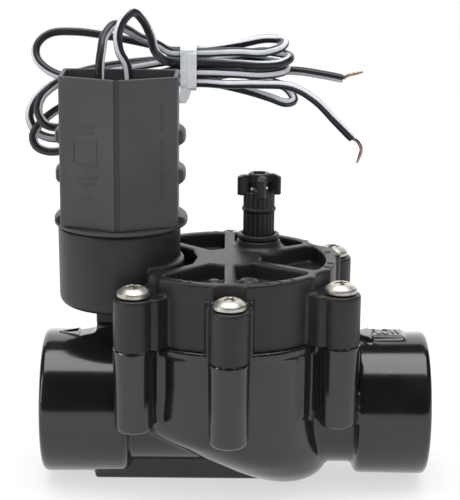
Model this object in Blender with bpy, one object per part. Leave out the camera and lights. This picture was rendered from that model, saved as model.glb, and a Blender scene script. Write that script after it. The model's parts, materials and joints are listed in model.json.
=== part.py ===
"""Inline one-inch solenoid irrigation valve, modelled piece by piece.

Frame: +Z up, +X towards the inlet, the front at -Y. The origin lies in the plane
that the valve rests on, below the bonnet's axis. Driving sizes are in millimetres
and every mesh is built in metres.
"""

import math

import bmesh
import bpy
from mathutils import Matrix, Vector

MM = 0.001
RING_SEGMENTS = 40             # facets of large, middling and small round pieces
MID_SEGMENTS = 32
SMALL_SEGMENTS = 16
GAP = 0.3                      # clearance between pieces that touch
WELD = 0.001                   # points closer than this are one point

# Flow line and the two slip sockets
FLOW_HEIGHT = 22.0
OUTLET_REACH = 53.6
INLET_REACH = 57.4
SOCKET_RADIUS = 20.75
SOCKET_BORE = 16.8
SOCKET_LENGTH = 20.6
SOCKET_DEPTH = 19.0
NECK_RADIUS = 17.4
NECK_OVERLAP = 6.0             # how far the outlet neck runs on into the chamber
PASSAGE_RADIUS = 11.5
SOCKET_ROUNDING = 1.6

# Lower body
PARTING_HEIGHT = 46.5
CHAMBER_RADIUS = 30.0
CHAMBER_WALL = 3.6
BODY_FLOOR = 4.0
BODY_FLANGE_RADIUS = 31.8
BODY_FLANGE_HEIGHT = 2.6
SEAT_RADIUS = 11.0
SEAT_WALL = 2.4
SEAT_HEIGHT = 41.0
BOWL_CENTRE = 17.0
FOOT_HALF_WIDTH = 6.6
FOOT_THICKNESS = 2.6
FOOT_LEFT = -38.9

# Bolt circle, seen from above, angles from +X
BOLT_CIRCLE_RADIUS = 36.6
BOLT_ANGLES = (-90.0, -33.1, 33.1, 90.0, 135.8, -135.8)
BOSS_RADIUS = 5.5
BODY_BOSS_BOTTOM = 22.5
BOSS_TOP = 60.9
BOSS_PAD_WIDTH = 14.6
SCREW_RADIUS = 2.4
SCREW_HEAD_RADIUS = 4.5
SCREW_HEAD_HEIGHT = 2.9
SCREW_REACH = 27.0
SCREW_RECESS_RADIUS = 1.3
SCREW_RECESS_DEPTH = 1.6

# Bonnet
BONNET_WALL_RADIUS = 29.6
RIM_RADIUS = 30.4
RIM_WIDTH = 2.9
RIM_HEIGHT = 65.7
POCKET_DEPTH = 5.0
DECK_THICKNESS = 3.2
BONNET_WALL = 4.6
RIB_WIDTH = 2.9
HUB_RADIUS = 9.2
DRIVER_GROOVE_RADIUS = 5.0
BONNET_LEFT = -22.5

# Solenoid bowl and its axis
SOLENOID_X = -31.0
BOWL_RADIUS = 16.6
BOWL_BOTTOM = 52.5
BOWL_FLOOR = 59.0
BOWL_TOP = 75.4
BOWL_BORE = 13.1
EXHAUST_RADIUS = 1.0
EXHAUST_X = -35.5
EXHAUST_WIDTH = 5.4
EXHAUST_SEAL_ROOM = 2.1
EXHAUST_SEAL_SECTION = 0.4

# Diaphragm and what rides with it
DIAPHRAGM_RADIUS = 27.2
DIAPHRAGM_BEAD = 2.4
DIAPHRAGM_THICKNESS = 1.2
DIAPHRAGM_BEAD_HEIGHT = 2.6
PLATE_RADIUS = 18.6
PLATE_THICKNESS = 2.0
WASHER_RADIUS = 14.2
WASHER_THICKNESS = 2.0
DIAPHRAGM_LIFT = 4.0
GUIDE_RADIUS = 4.0
GUIDE_BORE = 4.4
GUIDE_LENGTH = 5.0

# Flow control
FLOW_X = 8.4
FLOW_Y = 12.5
FLOW_BOSS_RADIUS = 5.85
FLOW_BOSS_TOP = 68.7
FLOW_BOSS_BORE = 4.95
STEM_RADIUS = 2.4
STEM_BORE = 2.7
HANDLE_SLEEVE_RADIUS = 4.45
HANDLE_SLEEVE_BOTTOM = 66.6
HANDLE_HEAD_BOTTOM = 81.2
HANDLE_TOP = 87.8
HANDLE_SPAN = 12.9
HANDLE_ARM_WIDTH = 5.0
HANDLE_FLUTES = 16
HANDLE_SOCKET = 4.4
FLOW_TRAVEL = 3.0
STEM_SEAL_ROOM = 4.1
STEM_SEAL_SECTION = 0.6
GLAND_RADIUS = 5.6
GLAND_HEIGHT = 1.5

# Solenoid
DISC_RADIUS = 18.9
DISC_THICKNESS = 2.8
RING_HEIGHTS = (87.6, 98.6)
RING_THICKNESS = 4.8
RING_FRONT = 5.0               # the rings stop at this distance in front of the axis
CAN_RADIUS = 15.9
CAN_WALL = 1.6
SOLENOID_TOP = 119.0
SHROUD_HALF_WIDTH = 16.4
SHROUD_FRONT = 18.0
SHROUD_SIDE_FRONT = 10.6
SHROUD_BACK = 4.2
SHROUD_WALL = 1.3
SHROUD_RECESS = 7.6
CORE_RADIUS = 4.2
CORE_WALL = 0.8
COIL_RADIUS = 9.4
COIL_BOTTOM = 80.2
COIL_TOP = 97.6
BOBBIN_FLANGE = 1.2
BRACKET_THICKNESS = 1.2
BRACKET_HALF_WIDTH = 7.0
PLUNGER_RADIUS = 3.9
PLUNGER_TOP = 84.0
PLUNGER_STROKE = 1.6

# Leads: each leaves its grommet, arches over to the tie, makes two loops on each side
# of it and ends in a stripped conductor. The points are the route of the centreline.
LEAD_RADIUS = 1.3
LEAD_EXITS = ((-36.5, -3.0), (-28.5, -1.0))
LEAD_SPACING = 5.6
CONDUCTOR_RADIUS = 0.5
LEAD_ROUTE_1 = (
    (-36.5, -3, 104), (-36.5, -3, 112.5), (-36.5, -2.5, 120.5), (-36, -0.5, 125), (-35.5, 2, 128),
    (-33, 5.5, 131), (-29.5, 10.5, 129), (-26, 16, 126), (-21.5, 20.5, 123.5), (-17.5, 23, 121),
    (-12.5, 23, 121), (-7.5, 23, 121), (2, 21.5, 121.5), (9, 20, 121.5), (13.5, 21, 122.5),
    (15.5, 25, 123.5), (14.5, 29.5, 124), (10, 31.5, 124), (2.5, 31, 122.5), (-7.5, 29, 121),
    (-12.5, 29, 121), (-17.5, 29, 121), (-24.5, 29.5, 122.5), (-32, 29.5, 124), (-45.5, 29, 126),
    (-53.5, 28, 125.5), (-57, 26, 122.5), (-57, 24, 119), (-54, 22, 116), (-49, 20.5, 114),
    (-40, 20, 113), (-29.5, 20.5, 113.5), (-17.5, 23, 115), (-12.5, 23, 115), (-7.5, 23, 115),
    (2, 21.5, 115), (8, 20, 115), (13, 20, 115.5), (16, 23.5, 116), (15, 28.5, 117), (9.5, 31, 117.5),
    (1, 30.5, 118), (-7.5, 29, 118), (-12.5, 29, 118), (-17.5, 29, 118), (-24, 29.5, 117.5),
    (-36, 29.5, 116), (-46.5, 29.5, 113.5), (-54, 29.5, 109.5), (-58.5, 29.5, 105), (-60, 29, 100.5),
    (-58, 29, 96), (-53, 29, 94), (-42, 29.5, 96), (-30, 29.5, 102.5), (-21.5, 29.5, 108.5),
    (-17.5, 29, 112), (-12.5, 29, 112), (-7.5, 29, 112), (-2, 30, 113.5), (8.5, 29.5, 114.5),
    (19, 28.5, 115), (27.5, 27.5, 114), (33, 27, 113),
)
LEAD_ROUTE_2 = (
    (-28.5, -1, 104), (-28.5, -1, 112.5), (-29, -1.5, 120.5), (-31, -1.5, 124.5), (-31.5, -1, 129),
    (-30, 0, 133), (-27.5, 2.5, 135), (-25, 6, 132.5), (-23, 10.5, 127.5), (-22, 15, 122.5),
    (-20, 19.5, 119.5), (-17.5, 23, 118), (-12.5, 23, 118), (-7.5, 23, 118), (2, 21, 118),
    (9, 19, 118), (14, 19, 118.5), (17, 22.5, 119.5), (16, 27.5, 120), (10, 29.5, 120.5),
    (1, 28, 119.5), (-7.5, 26, 118), (-12.5, 26, 118), (-17.5, 26, 118), (-24, 26, 117),
    (-37, 25.5, 115), (-47, 25, 113.5), (-51.5, 24, 111), (-55.5, 22.5, 107.5), (-56.5, 21.5, 103.5),
    (-54.5, 22, 99.5), (-50.5, 23, 98.5), (-40, 25.5, 100.5), (-30, 26.5, 105), (-21, 26.5, 110),
    (-17.5, 26, 112), (-12.5, 26, 112), (-7.5, 26, 112), (-2, 25.5, 111), (5.5, 24, 109.5),
    (11.5, 22, 108), (16, 22, 106.5), (18.5, 24.5, 107), (16.5, 27, 110), (10, 27, 112.5),
    (2, 26.5, 114.5), (-7.5, 26, 115), (-12.5, 26, 115), (-17.5, 26, 115), (-24, 26, 113),
    (-35.5, 26, 109.5), (-46, 25.5, 106), (-52.5, 25.5, 102.5), (-56.5, 25, 99), (-58.5, 24.5, 95.5),
    (-57.5, 24, 92.5), (-54, 24, 91), (-47.5, 23.5, 92), (-37, 23, 97), (-26.5, 23, 104.5),
    (-20, 23, 109), (-17.5, 23, 112), (-12.5, 23, 112), (-7.5, 23, 112), (-2, 21, 112),
    (8, 18.5, 112.5), (17.5, 17.5, 112), (24.5, 18, 108), (30.5, 17.5, 102), (35.5, 17, 97),
)
CONDUCTOR_ROUTES = (
    ((33.3, 27, 113.1), (34.4, 27, 114), (36.7, 27, 114.6), (38.8, 27, 115.1)),
    ((35.7, 17, 96.8), (36.8, 17, 96.4), (38.1, 17, 94), (37, 17, 89.8)),
)
TIE_CENTRE = (-12.5, 26.0, 116.5)
TIE_WIDTH = 5.0
TIE_THICKNESS = 0.9



def clear_scene():
    """Remove every object that the file starts with."""
    for obj in list(bpy.data.objects):
        bpy.data.objects.remove(obj, do_unlink=True)


def finish(name, colour, roughness, metallic=0.0):
    """Make one Principled material."""
    made = bpy.data.materials.new(name)
    made.use_nodes = True
    shader = made.node_tree.nodes["Principled BSDF"]
    shader.inputs["Base Color"].default_value = (*colour, 1.0)
    shader.inputs["Roughness"].default_value = roughness
    shader.inputs["Metallic"].default_value = metallic
    made.diffuse_color = (*colour, 1.0)
    return made


# ---------------------------------------------------------------- shapes

def rod(radius, low, high, x=0.0, y=0.0, segments=SMALL_SEGMENTS):
    """Upright cylinder."""
    shape = bmesh.new()
    place = Matrix.Translation(Vector((x, y, (low + high) / 2)) * MM)
    bmesh.ops.create_cone(shape, cap_ends=True, segments=segments, radius1=radius * MM,
                          radius2=radius * MM, depth=(high - low) * MM, matrix=place)
    return shape


def block(low, high):
    """Box between two corners."""
    low, high = Vector(low) * MM, Vector(high) * MM
    shape = bmesh.new()
    size = high - low
    place = Matrix.Translation((low + high) / 2) @ Matrix.Diagonal((*size, 1.0))
    bmesh.ops.create_cube(shape, size=1.0, matrix=place)
    return shape


def rounded(corners, steps=3):
    """Outline from (x, y) or (x, y, fillet) corners, with each fillet drawn as an arc."""
    points = []
    count = len(corners)
    for index, corner in enumerate(corners):
        here = Vector(corner[:2])
        radius = corner[2] if len(corner) > 2 else 0.0
        if not radius:
            points.append(tuple(here))
            continue
        back = (Vector(corners[index - 1][:2]) - here).normalized()
        ahead = (Vector(corners[(index + 1) % count][:2]) - here).normalized()
        half = back.angle(ahead) / 2
        reach = radius / math.tan(half)
        centre = here + (back + ahead).normalized() * (radius / math.sin(half))
        first, last = here + back * reach - centre, here + ahead * reach - centre
        sweep = first.angle_signed(last)
        for step in range(steps + 1):
            turn = Matrix.Rotation(-sweep * step / steps, 2)
            points.append(tuple(centre + turn @ first))
    return points


def turned(profile, x=0.0, y=0.0, segments=RING_SEGMENTS):
    """Turn a closed (radius, height) profile about an upright axis."""
    shape = bmesh.new()
    verts = [shape.verts.new((radius * MM, 0.0, height * MM)) for radius, height in profile]
    pairs = [(verts[i - 1], verts[i]) for i in range(len(verts))]
    edges = [shape.edges.new(pair) for pair in pairs if pair[0].co.x > 0 or pair[1].co.x > 0]
    bmesh.ops.spin(shape, geom=verts + edges, cent=(0, 0, 0), axis=(0, 0, 1),
                   angle=2 * math.pi, steps=segments, use_merge=True)
    bmesh.ops.remove_doubles(shape, verts=shape.verts, dist=1e-6)
    bmesh.ops.recalc_face_normals(shape, faces=shape.faces)
    bmesh.ops.translate(shape, verts=shape.verts, vec=(x * MM, y * MM, 0.0))
    return shape


def along_x(shape, height=FLOW_HEIGHT):
    """Lay an upright shape down, so that its +Z runs along +X at the flow line."""
    turn = Matrix.Translation((0, 0, height * MM)) @ Matrix.Rotation(math.pi / 2, 4, "Y")
    bmesh.ops.transform(shape, matrix=turn, verts=shape.verts)
    return shape


def prism(outline, low, high):
    """Extrude an (x, y) outline upwards."""
    shape = bmesh.new()
    verts = [shape.verts.new((px * MM, py * MM, low * MM)) for px, py in outline]
    face = shape.faces.new(verts)
    made = bmesh.ops.extrude_face_region(shape, geom=[face])
    top = [item for item in made["geom"] if isinstance(item, bmesh.types.BMVert)]
    bmesh.ops.translate(shape, verts=top, vec=(0, 0, (high - low) * MM))
    bmesh.ops.recalc_face_normals(shape, faces=shape.faces)
    return shape


def loft(rings, segments=MID_SEGMENTS):
    """Skin elliptical rings given as (height, left, right, half width)."""
    shape = bmesh.new()
    loops = []
    for height, left, right, half_width in rings:
        centre, reach = (left + right) / 2, (right - left) / 2
        loop = []
        for step in range(segments):
            angle = 2 * math.pi * step / segments
            loop.append(shape.verts.new(((centre + reach * math.cos(angle)) * MM,
                                         half_width * math.sin(angle) * MM, height * MM)))
        loops.append(loop)
    for lower, upper in zip(loops, loops[1:]):
        for step in range(segments):
            after = (step + 1) % segments
            shape.faces.new((lower[step], lower[after], upper[after], upper[step]))
    shape.faces.new(loops[0])
    shape.faces.new(loops[-1])
    bmesh.ops.recalc_face_normals(shape, faces=shape.faces)
    return shape


def coil(radius, wire, low, high, turns, x=0.0, y=0.0, steps=12):
    """Compression spring: a round wire wound into a helix, with square-cut ends."""
    shape = bmesh.new()
    sides = 5
    total = turns * steps
    rise = (high - low - 2 * wire) / total
    loops = []
    for step in range(total + 1):
        angle = 2 * math.pi * step / steps
        outward = Vector((math.cos(angle), math.sin(angle), 0.0))
        centre = Vector((x, y, low + wire + rise * step)) + outward * radius
        loop = []
        for side in range(sides):
            turn = 2 * math.pi * side / sides
            offset = outward * (wire * math.cos(turn)) + Vector((0, 0, wire * math.sin(turn)))
            loop.append(shape.verts.new((centre + offset) * MM))
        loops.append(loop)
    for here, there in zip(loops, loops[1:]):
        for side in range(sides):
            after = (side + 1) % sides
            shape.faces.new((here[side], here[after], there[after], there[side]))
    shape.faces.new(loops[0])
    shape.faces.new(loops[-1])
    bmesh.ops.recalc_face_normals(shape, faces=shape.faces)
    return shape


def ring_seal(radius, thickness, height, x=0.0, y=0.0, segments=32):
    """O-ring with an eight-sided section."""
    section = []
    for side in range(8):
        angle = 2 * math.pi * side / 8
        section.append((radius + thickness * math.cos(angle), height + thickness * math.sin(angle)))
    return turned(section, x, y, segments)


def smooth_route(points, spacing):
    """Points at an even spacing along a centripetal Catmull-Rom curve through a route."""
    knots = [Vector(point) for point in points]
    knots = [2 * knots[0] - knots[1], *knots, 2 * knots[-1] - knots[-2]]
    fine = []
    for before, start, end, after in zip(knots, knots[1:], knots[2:], knots[3:]):
        times = [0.0]
        for here, there in ((before, start), (start, end), (end, after)):
            times.append(times[-1] + math.sqrt((there - here).length))
        for step in range(12):
            now = times[1] + (times[2] - times[1]) * step / 12
            lows = [here.lerp(there, (now - times[i]) / (times[i + 1] - times[i]))
                    for i, (here, there) in enumerate(((before, start), (start, end), (end, after)))]
            mids = [here.lerp(there, (now - times[i]) / (times[i + 2] - times[i]))
                    for i, (here, there) in enumerate(((lows[0], lows[1]), (lows[1], lows[2])))]
            fine.append(mids[0].lerp(mids[1], (now - times[1]) / (times[2] - times[1])))
    fine.append(knots[-2])
    reach = [0.0]
    for here, there in zip(fine, fine[1:]):
        reach.append(reach[-1] + (there - here).length)
    count = max(2, round(reach[-1] / spacing))
    even, index = [], 0
    for step in range(count + 1):
        target = reach[-1] * step / count
        while index < len(fine) - 2 and reach[index + 1] < target:
            index += 1
        share = (target - reach[index]) / (reach[index + 1] - reach[index])
        even.append(fine[index].lerp(fine[index + 1], share))
    return even


# ---------------------------------------------------------------- booleans and objects

def as_object(name, shape):
    """Put a bmesh into a new object and free it."""
    mesh = bpy.data.meshes.new(name)
    shape.to_mesh(mesh)
    shape.free()
    made = bpy.data.objects.new(name, mesh)
    bpy.context.scene.collection.objects.link(made)
    return made


def carve(shape, steps):
    """Apply ('UNION' or 'DIFFERENCE', bmesh) steps in order and return the result."""
    base = as_object("blank", shape)
    tools = []
    for index, (operation, tool) in enumerate(steps):
        cutter = as_object(f"tool_{index}", tool)
        cutter.hide_render = True
        cutter.display_type = "WIRE"
        change = base.modifiers.new(f"step_{index}", "BOOLEAN")
        change.operation = operation
        change.object = cutter
        tools.append(cutter)
    graph = bpy.context.evaluated_depsgraph_get()
    evaluated = base.evaluated_get(graph)
    result = bmesh.new()
    result.from_mesh(evaluated.to_mesh())
    evaluated.to_mesh_clear()
    bmesh.ops.remove_doubles(result, verts=result.verts, dist=WELD * MM)
    for obj in [base, *tools]:
        bpy.data.objects.remove(obj, do_unlink=True)
    return result


def body_empty(name, place, parent=None):
    """Empty on a joint's axis, which carries the pieces that move together."""
    made = bpy.data.objects.new(name, None)
    bpy.context.scene.collection.objects.link(made)
    made.parent = parent
    offset = Vector(place) - (Vector(parent["place"]) if parent else Vector())
    made.location = offset * MM
    made["place"] = tuple(place)
    return made


def piece(name, shape, surface, parent=None):
    """Name a finished shape, give it its material and hang it on its body."""
    place = Vector(parent["place"]) if parent else Vector()
    bmesh.ops.translate(shape, verts=shape.verts, vec=-place * MM)
    made = as_object(name, shape)
    made.data.materials.append(surface)
    made.data.shade_smooth()
    made.data.set_sharp_from_angle(angle=math.radians(35))
    made.parent = parent
    return made


def tube(name, points, radius, surface, parent):
    """Round wire along points, as a curve object with filled caps."""
    place = Vector(parent["place"])
    curve = bpy.data.curves.new(name, "CURVE")
    curve.dimensions = "3D"
    curve.bevel_depth = radius * MM
    curve.bevel_resolution = 2
    curve.use_fill_caps = True
    spline = curve.splines.new("POLY")
    spline.points.add(len(points) - 1)
    for knot, point in zip(spline.points, points):
        knot.co = (*((Vector(point) - place) * MM), 1.0)
    made = bpy.data.objects.new(name, curve)
    bpy.context.scene.collection.objects.link(made)
    curve.materials.append(surface)
    made.parent = parent
    return made


def bolt_places():
    """Centres of the six bonnet bolts, with each bolt's direction from the axis."""
    for angle in BOLT_ANGLES:
        turn = math.radians(angle)
        outward = Vector((math.cos(turn), math.sin(turn)))
        yield outward * BOLT_CIRCLE_RADIUS, outward


def strip(start, end, width):
    """Outline of a straight strip between two (x, y) points."""
    start, end = Vector(start), Vector(end)
    side = (end - start).normalized().orthogonal() * (width / 2)
    return [tuple(start - side), tuple(end - side), tuple(end + side), tuple(start + side)]


# ---------------------------------------------------------------- valve body

def socket_shape(reach, side, start):
    """One slip socket's outside with its neck, on the outlet (-1) or inlet (+1) side."""
    inner = reach - SOCKET_LENGTH
    profile = rounded([(0.0, start), (NECK_RADIUS, start), (NECK_RADIUS, inner - 1.0),
                       (SOCKET_RADIUS, inner, SOCKET_ROUNDING), (SOCKET_RADIUS, reach, SOCKET_ROUNDING),
                       (0.0, reach)])
    shape = along_x(turned(profile))
    if side < 0:
        bmesh.ops.rotate(shape, verts=shape.verts, cent=(0, 0, 0), matrix=Matrix.Rotation(math.pi, 3, "Z"))
    return shape


def chamber_rings(inset=0.0, floor=0.0, top=PARTING_HEIGHT):
    """Rings of the chamber: a drum that narrows into a bowl on the inlet side."""
    foot = BOWL_CENTRE
    outer = [
        (0.0, foot - 6.0, foot + 5.5, 6.5),
        (1.6, foot - 10.0, foot + 9.0, 11.5),
        (5.0, foot - 16.5, foot + 11.8, 17.0),
        (10.0, foot - 25.5, foot + 12.8, 22.8),
        (16.0, foot - 36.0, CHAMBER_RADIUS, 27.6),
        (23.0, -CHAMBER_RADIUS, CHAMBER_RADIUS, CHAMBER_RADIUS),
        (top, -CHAMBER_RADIUS, CHAMBER_RADIUS, CHAMBER_RADIUS),
    ]
    return [(max(height, floor), left + inset, right - inset, half - inset)
            for height, left, right, half in outer]


def bored_x(radius, start, end, height=FLOW_HEIGHT):
    """Cutter or blank for a round passage along the flow line."""
    return along_x(rod(radius, start, end, segments=MID_SEGMENTS), height)


def body_shape():
    """Outside of the body, then its chamber, seat tube, passages and holes."""
    steps = [("UNION", socket_shape(OUTLET_REACH, -1, -NECK_OVERLAP)),
             ("UNION", socket_shape(INLET_REACH, 1, NECK_OVERLAP + 4.0))]
    keel = rounded([(FOOT_LEFT, -FOOT_HALF_WIDTH, 1.0), (BOWL_CENTRE - 4.0, -FOOT_HALF_WIDTH),
                    (BOWL_CENTRE - 4.0, FOOT_HALF_WIDTH), (FOOT_LEFT, FOOT_HALF_WIDTH, 1.0)])
    steps.append(("UNION", prism(keel, 0.0, FOOT_THICKNESS)))
    skirt = [(FOOT_LEFT + 8.0, -5.0), (BOWL_CENTRE - 6.0, -5.0), (BOWL_CENTRE - 6.0, 5.0),
             (FOOT_LEFT + 8.0, 5.0)]
    steps.append(("UNION", prism(skirt, 1.0, FLOW_HEIGHT)))
    flange_top = PARTING_HEIGHT + 0.6
    steps.append(("UNION", rod(BODY_FLANGE_RADIUS, PARTING_HEIGHT - BODY_FLANGE_HEIGHT, flange_top,
                               segments=RING_SEGMENTS)))
    for centre, outward in bolt_places():
        start = outward * (CHAMBER_RADIUS - 2.0)
        steps.append(("UNION", prism(strip(start, centre, BOSS_RADIUS * 1.3), BODY_BOSS_BOTTOM + 1.5,
                                     flange_top + 0.3)))
        boss = turned(rounded([(0.0, BODY_BOSS_BOTTOM), (BOSS_RADIUS, BODY_BOSS_BOTTOM, 1.5),
                               (BOSS_RADIUS, flange_top + 0.6), (0.0, flange_top + 0.6)]),
                      *centre, segments=SMALL_SEGMENTS)
        steps.append(("UNION", boss))
    stub = block((EXHAUST_X - EXHAUST_WIDTH / 2, -EXHAUST_WIDTH / 2, FLOW_HEIGHT),
                 (-CHAMBER_RADIUS + 2.0, EXHAUST_WIDTH / 2, flange_top + 0.9))
    steps.append(("UNION", stub))
    reach = BODY_FLANGE_RADIUS * 2
    steps.append(("DIFFERENCE", block((-reach, -reach, PARTING_HEIGHT), (reach, reach, PARTING_HEIGHT + 4.0))))
    outside = carve(loft(chamber_rings(top=PARTING_HEIGHT + 0.3)), steps)

    cavity = loft(chamber_rings(CHAMBER_WALL, BODY_FLOOR, PARTING_HEIGHT + 1.0)[2:])
    tube_radius = SEAT_RADIUS + SEAT_WALL
    cavity = carve(cavity, [
        ("DIFFERENCE", rod(tube_radius, 0.0, SEAT_HEIGHT, segments=MID_SEGMENTS)),
        ("DIFFERENCE", bored_x(PASSAGE_RADIUS + SEAT_WALL, -CHAMBER_RADIUS - 2.0, 1.0)),
        ("DIFFERENCE", block((-CHAMBER_RADIUS - 1.0, -tube_radius, 0.0), (-1.0, tube_radius, FLOW_HEIGHT))),
    ])
    bead_room = DIAPHRAGM_RADIUS + GAP
    inside = [
        ("DIFFERENCE", cavity),
        ("DIFFERENCE", rod(SEAT_RADIUS, FLOW_HEIGHT, SEAT_HEIGHT + 1.0, segments=MID_SEGMENTS)),
        ("DIFFERENCE", bored_x(PASSAGE_RADIUS, -OUTLET_REACH + SOCKET_DEPTH - 1.0, SEAT_RADIUS - 1.0)),
        ("DIFFERENCE", bored_x(PASSAGE_RADIUS, tube_radius + 2.0, INLET_REACH - SOCKET_DEPTH + 1.0)),
        ("DIFFERENCE", bored_x(SOCKET_BORE, -OUTLET_REACH - 1.0, -OUTLET_REACH + SOCKET_DEPTH)),
        ("DIFFERENCE", bored_x(SOCKET_BORE, INLET_REACH - SOCKET_DEPTH, INLET_REACH + 1.0)),
        ("DIFFERENCE", rod(bead_room, PARTING_HEIGHT - DIAPHRAGM_BEAD_HEIGHT / 2 - GAP,
                           PARTING_HEIGHT + 1.0, segments=RING_SEGMENTS)),
        ("DIFFERENCE", rod(EXHAUST_RADIUS, FLOW_HEIGHT + 5.0, PARTING_HEIGHT + 1.0, EXHAUST_X)),
        ("DIFFERENCE", rod(EXHAUST_SEAL_ROOM, PARTING_HEIGHT - 1.0, PARTING_HEIGHT + 1.5, EXHAUST_X)),
    ]
    for centre, _ in bolt_places():
        inside.append(("DIFFERENCE", rod(SCREW_RADIUS + GAP, BOSS_TOP - SCREW_REACH - 1.5,
                                         PARTING_HEIGHT + 1.0, *centre, segments=16)))
    return carve(outside, inside)


# ---------------------------------------------------------------- bonnet

def bonnet_plan(radius):
    """Bonnet circle cut off by a flat where the solenoid bowl stands, as an outline."""
    half = math.sqrt(radius * radius - BONNET_LEFT * BONNET_LEFT)
    start = math.atan2(-half, BONNET_LEFT)
    sweep = -2 * start
    steps = 52
    return [(radius * math.cos(start + sweep * step / steps), radius * math.sin(start + sweep * step / steps))
            for step in range(steps + 1)]


def pocket_outline(first, last, inner):
    """One recess between two ribs: its angles in degrees and its inner radius."""
    outer = RIM_RADIUS - RIM_WIDTH
    margin_out = math.degrees(math.asin((RIB_WIDTH / 2 + 0.2) / outer))
    margin_in = math.degrees(math.asin((RIB_WIDTH / 2 + 0.2) / inner))
    points = []
    for step in range(9):
        angle = math.radians(first + margin_out + (last - first - 2 * margin_out) * step / 8)
        points.append((outer * math.cos(angle), outer * math.sin(angle)))
    for step in range(5):
        angle = math.radians(last - margin_in - (last - first - 2 * margin_in) * step / 4)
        points.append((inner * math.cos(angle), inner * math.sin(angle)))
    return points


def bonnet_shape():
    """Drum, rim, bosses, solenoid bowl and flow boss, then the recesses and bores."""
    base = PARTING_HEIGHT + GAP
    floor = RIM_HEIGHT - POCKET_DEPTH
    lip = 1.6
    steps = [("UNION", prism(bonnet_plan(RIM_RADIUS), RIM_HEIGHT - POCKET_DEPTH - lip, RIM_HEIGHT))]
    for centre, _ in bolt_places():
        steps.append(("DIFFERENCE", rod(DRIVER_GROOVE_RADIUS, BOSS_TOP - 1.0, RIM_HEIGHT + 1.0, *centre)))
    for centre, outward in bolt_places():
        pad = prism(strip(outward * (BONNET_WALL_RADIUS - 3.0), outward * (BOLT_CIRCLE_RADIUS - 1.5),
                          BOSS_PAD_WIDTH), base - 0.9, BOSS_TOP)
        steps.append(("UNION", pad))
        steps.append(("UNION", rod(BOSS_RADIUS + 0.1, base - 1.3, BOSS_TOP, *centre, segments=20)))
    bowl = turned(rounded([(0.0, BOWL_BOTTOM), (BOWL_RADIUS, BOWL_BOTTOM, 3.5), (BOWL_RADIUS, BOWL_TOP),
                           (0.0, BOWL_TOP)], 4), SOLENOID_X)
    steps.append(("UNION", bowl))
    bridge = block((SOLENOID_X, -BOWL_RADIUS + 1.5, BOWL_BOTTOM + 2.0), (BONNET_LEFT + 4.0, BOWL_RADIUS - 1.5,
                                                                       RIM_HEIGHT - 0.6))
    steps.append(("UNION", bridge))
    stub = block((EXHAUST_X - EXHAUST_WIDTH / 2, -EXHAUST_WIDTH / 2, base - 1.6),
                 (BONNET_LEFT + 2.0, EXHAUST_WIDTH / 2, BOWL_BOTTOM + 2.0))
    steps.append(("UNION", stub))
    reach = BOLT_CIRCLE_RADIUS * 2
    steps.append(("DIFFERENCE", block((-reach, -reach, base - 3.0), (reach, reach, base))))
    boss = turned(rounded([(0.0, floor - 2.0), (FLOW_BOSS_RADIUS, floor - 2.0),
                           (FLOW_BOSS_RADIUS, FLOW_BOSS_TOP, 0.6), (0.0, FLOW_BOSS_TOP)]),
                  FLOW_X, FLOW_Y, MID_SEGMENTS)
    drum = carve(prism(bonnet_plan(BONNET_WALL_RADIUS), base - 0.5, RIM_HEIGHT - 1.0), steps)

    pockets = []
    ordered = sorted(angle % 360.0 for angle in BOLT_ANGLES)
    for index, first in enumerate(ordered):
        last = ordered[(index + 1) % len(ordered)]
        if last < first:
            last += 360.0
        if first < 180.0 < last:
            continue
        pockets.append(("DIFFERENCE", prism(pocket_outline(first, last, HUB_RADIUS), floor, RIM_HEIGHT + 1.0)))
    room = RIM_HEIGHT - POCKET_DEPTH - DECK_THICKNESS
    inner = BONNET_WALL_RADIUS - BONNET_WALL
    cut_flat = block((-RIM_RADIUS, -RIM_RADIUS, base - 2.0), (BONNET_LEFT + 3.4, RIM_RADIUS, room + 1.0))
    hollow = carve(rod(inner, base - 1.0, room, segments=MID_SEGMENTS), [("DIFFERENCE", cut_flat)])
    cuts = [
        *pockets,
        ("UNION", boss),
        ("DIFFERENCE", hollow),
        ("DIFFERENCE", rod(GUIDE_BORE, room - 1.0, RIM_HEIGHT - 2.0, segments=32)),
        ("DIFFERENCE", rod(DIAPHRAGM_RADIUS + GAP, base - 1.0, base + DIAPHRAGM_BEAD_HEIGHT / 2,
                           segments=RING_SEGMENTS)),
        ("DIFFERENCE", rod(BOWL_BORE, BOWL_FLOOR, BOWL_TOP + 1.0, SOLENOID_X, segments=MID_SEGMENTS)),
        ("DIFFERENCE", rod(EXHAUST_RADIUS, base - 1.0, BOWL_FLOOR + 1.0, EXHAUST_X)),
        ("DIFFERENCE", rod(STEM_BORE, room - 1.0, FLOW_BOSS_TOP + 1.0, FLOW_X, FLOW_Y)),
        ("DIFFERENCE", rod(FLOW_BOSS_BORE, floor - 0.4, FLOW_BOSS_TOP + 1.0, FLOW_X, FLOW_Y, MID_SEGMENTS)),
        ("DIFFERENCE", rod(STEM_SEAL_ROOM, floor - 2.0, floor + 0.6, FLOW_X, FLOW_Y, 24)),
        ("DIFFERENCE", along_x(rod(1.2, SOLENOID_X + 9.0, BONNET_LEFT + 6.0), BOWL_FLOOR - 2.6)),
        ("DIFFERENCE", rod(1.2, BOWL_FLOOR - 2.6, BOWL_FLOOR + 1.0, SOLENOID_X + 9.5)),
    ]
    for centre, _ in bolt_places():
        cuts.append(("DIFFERENCE", rod(SCREW_RADIUS + GAP, base - 1.0, BOSS_TOP + 1.0, *centre, segments=16)))
    return carve(drum, cuts)


# ---------------------------------------------------------------- the rest of the pieces

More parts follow.
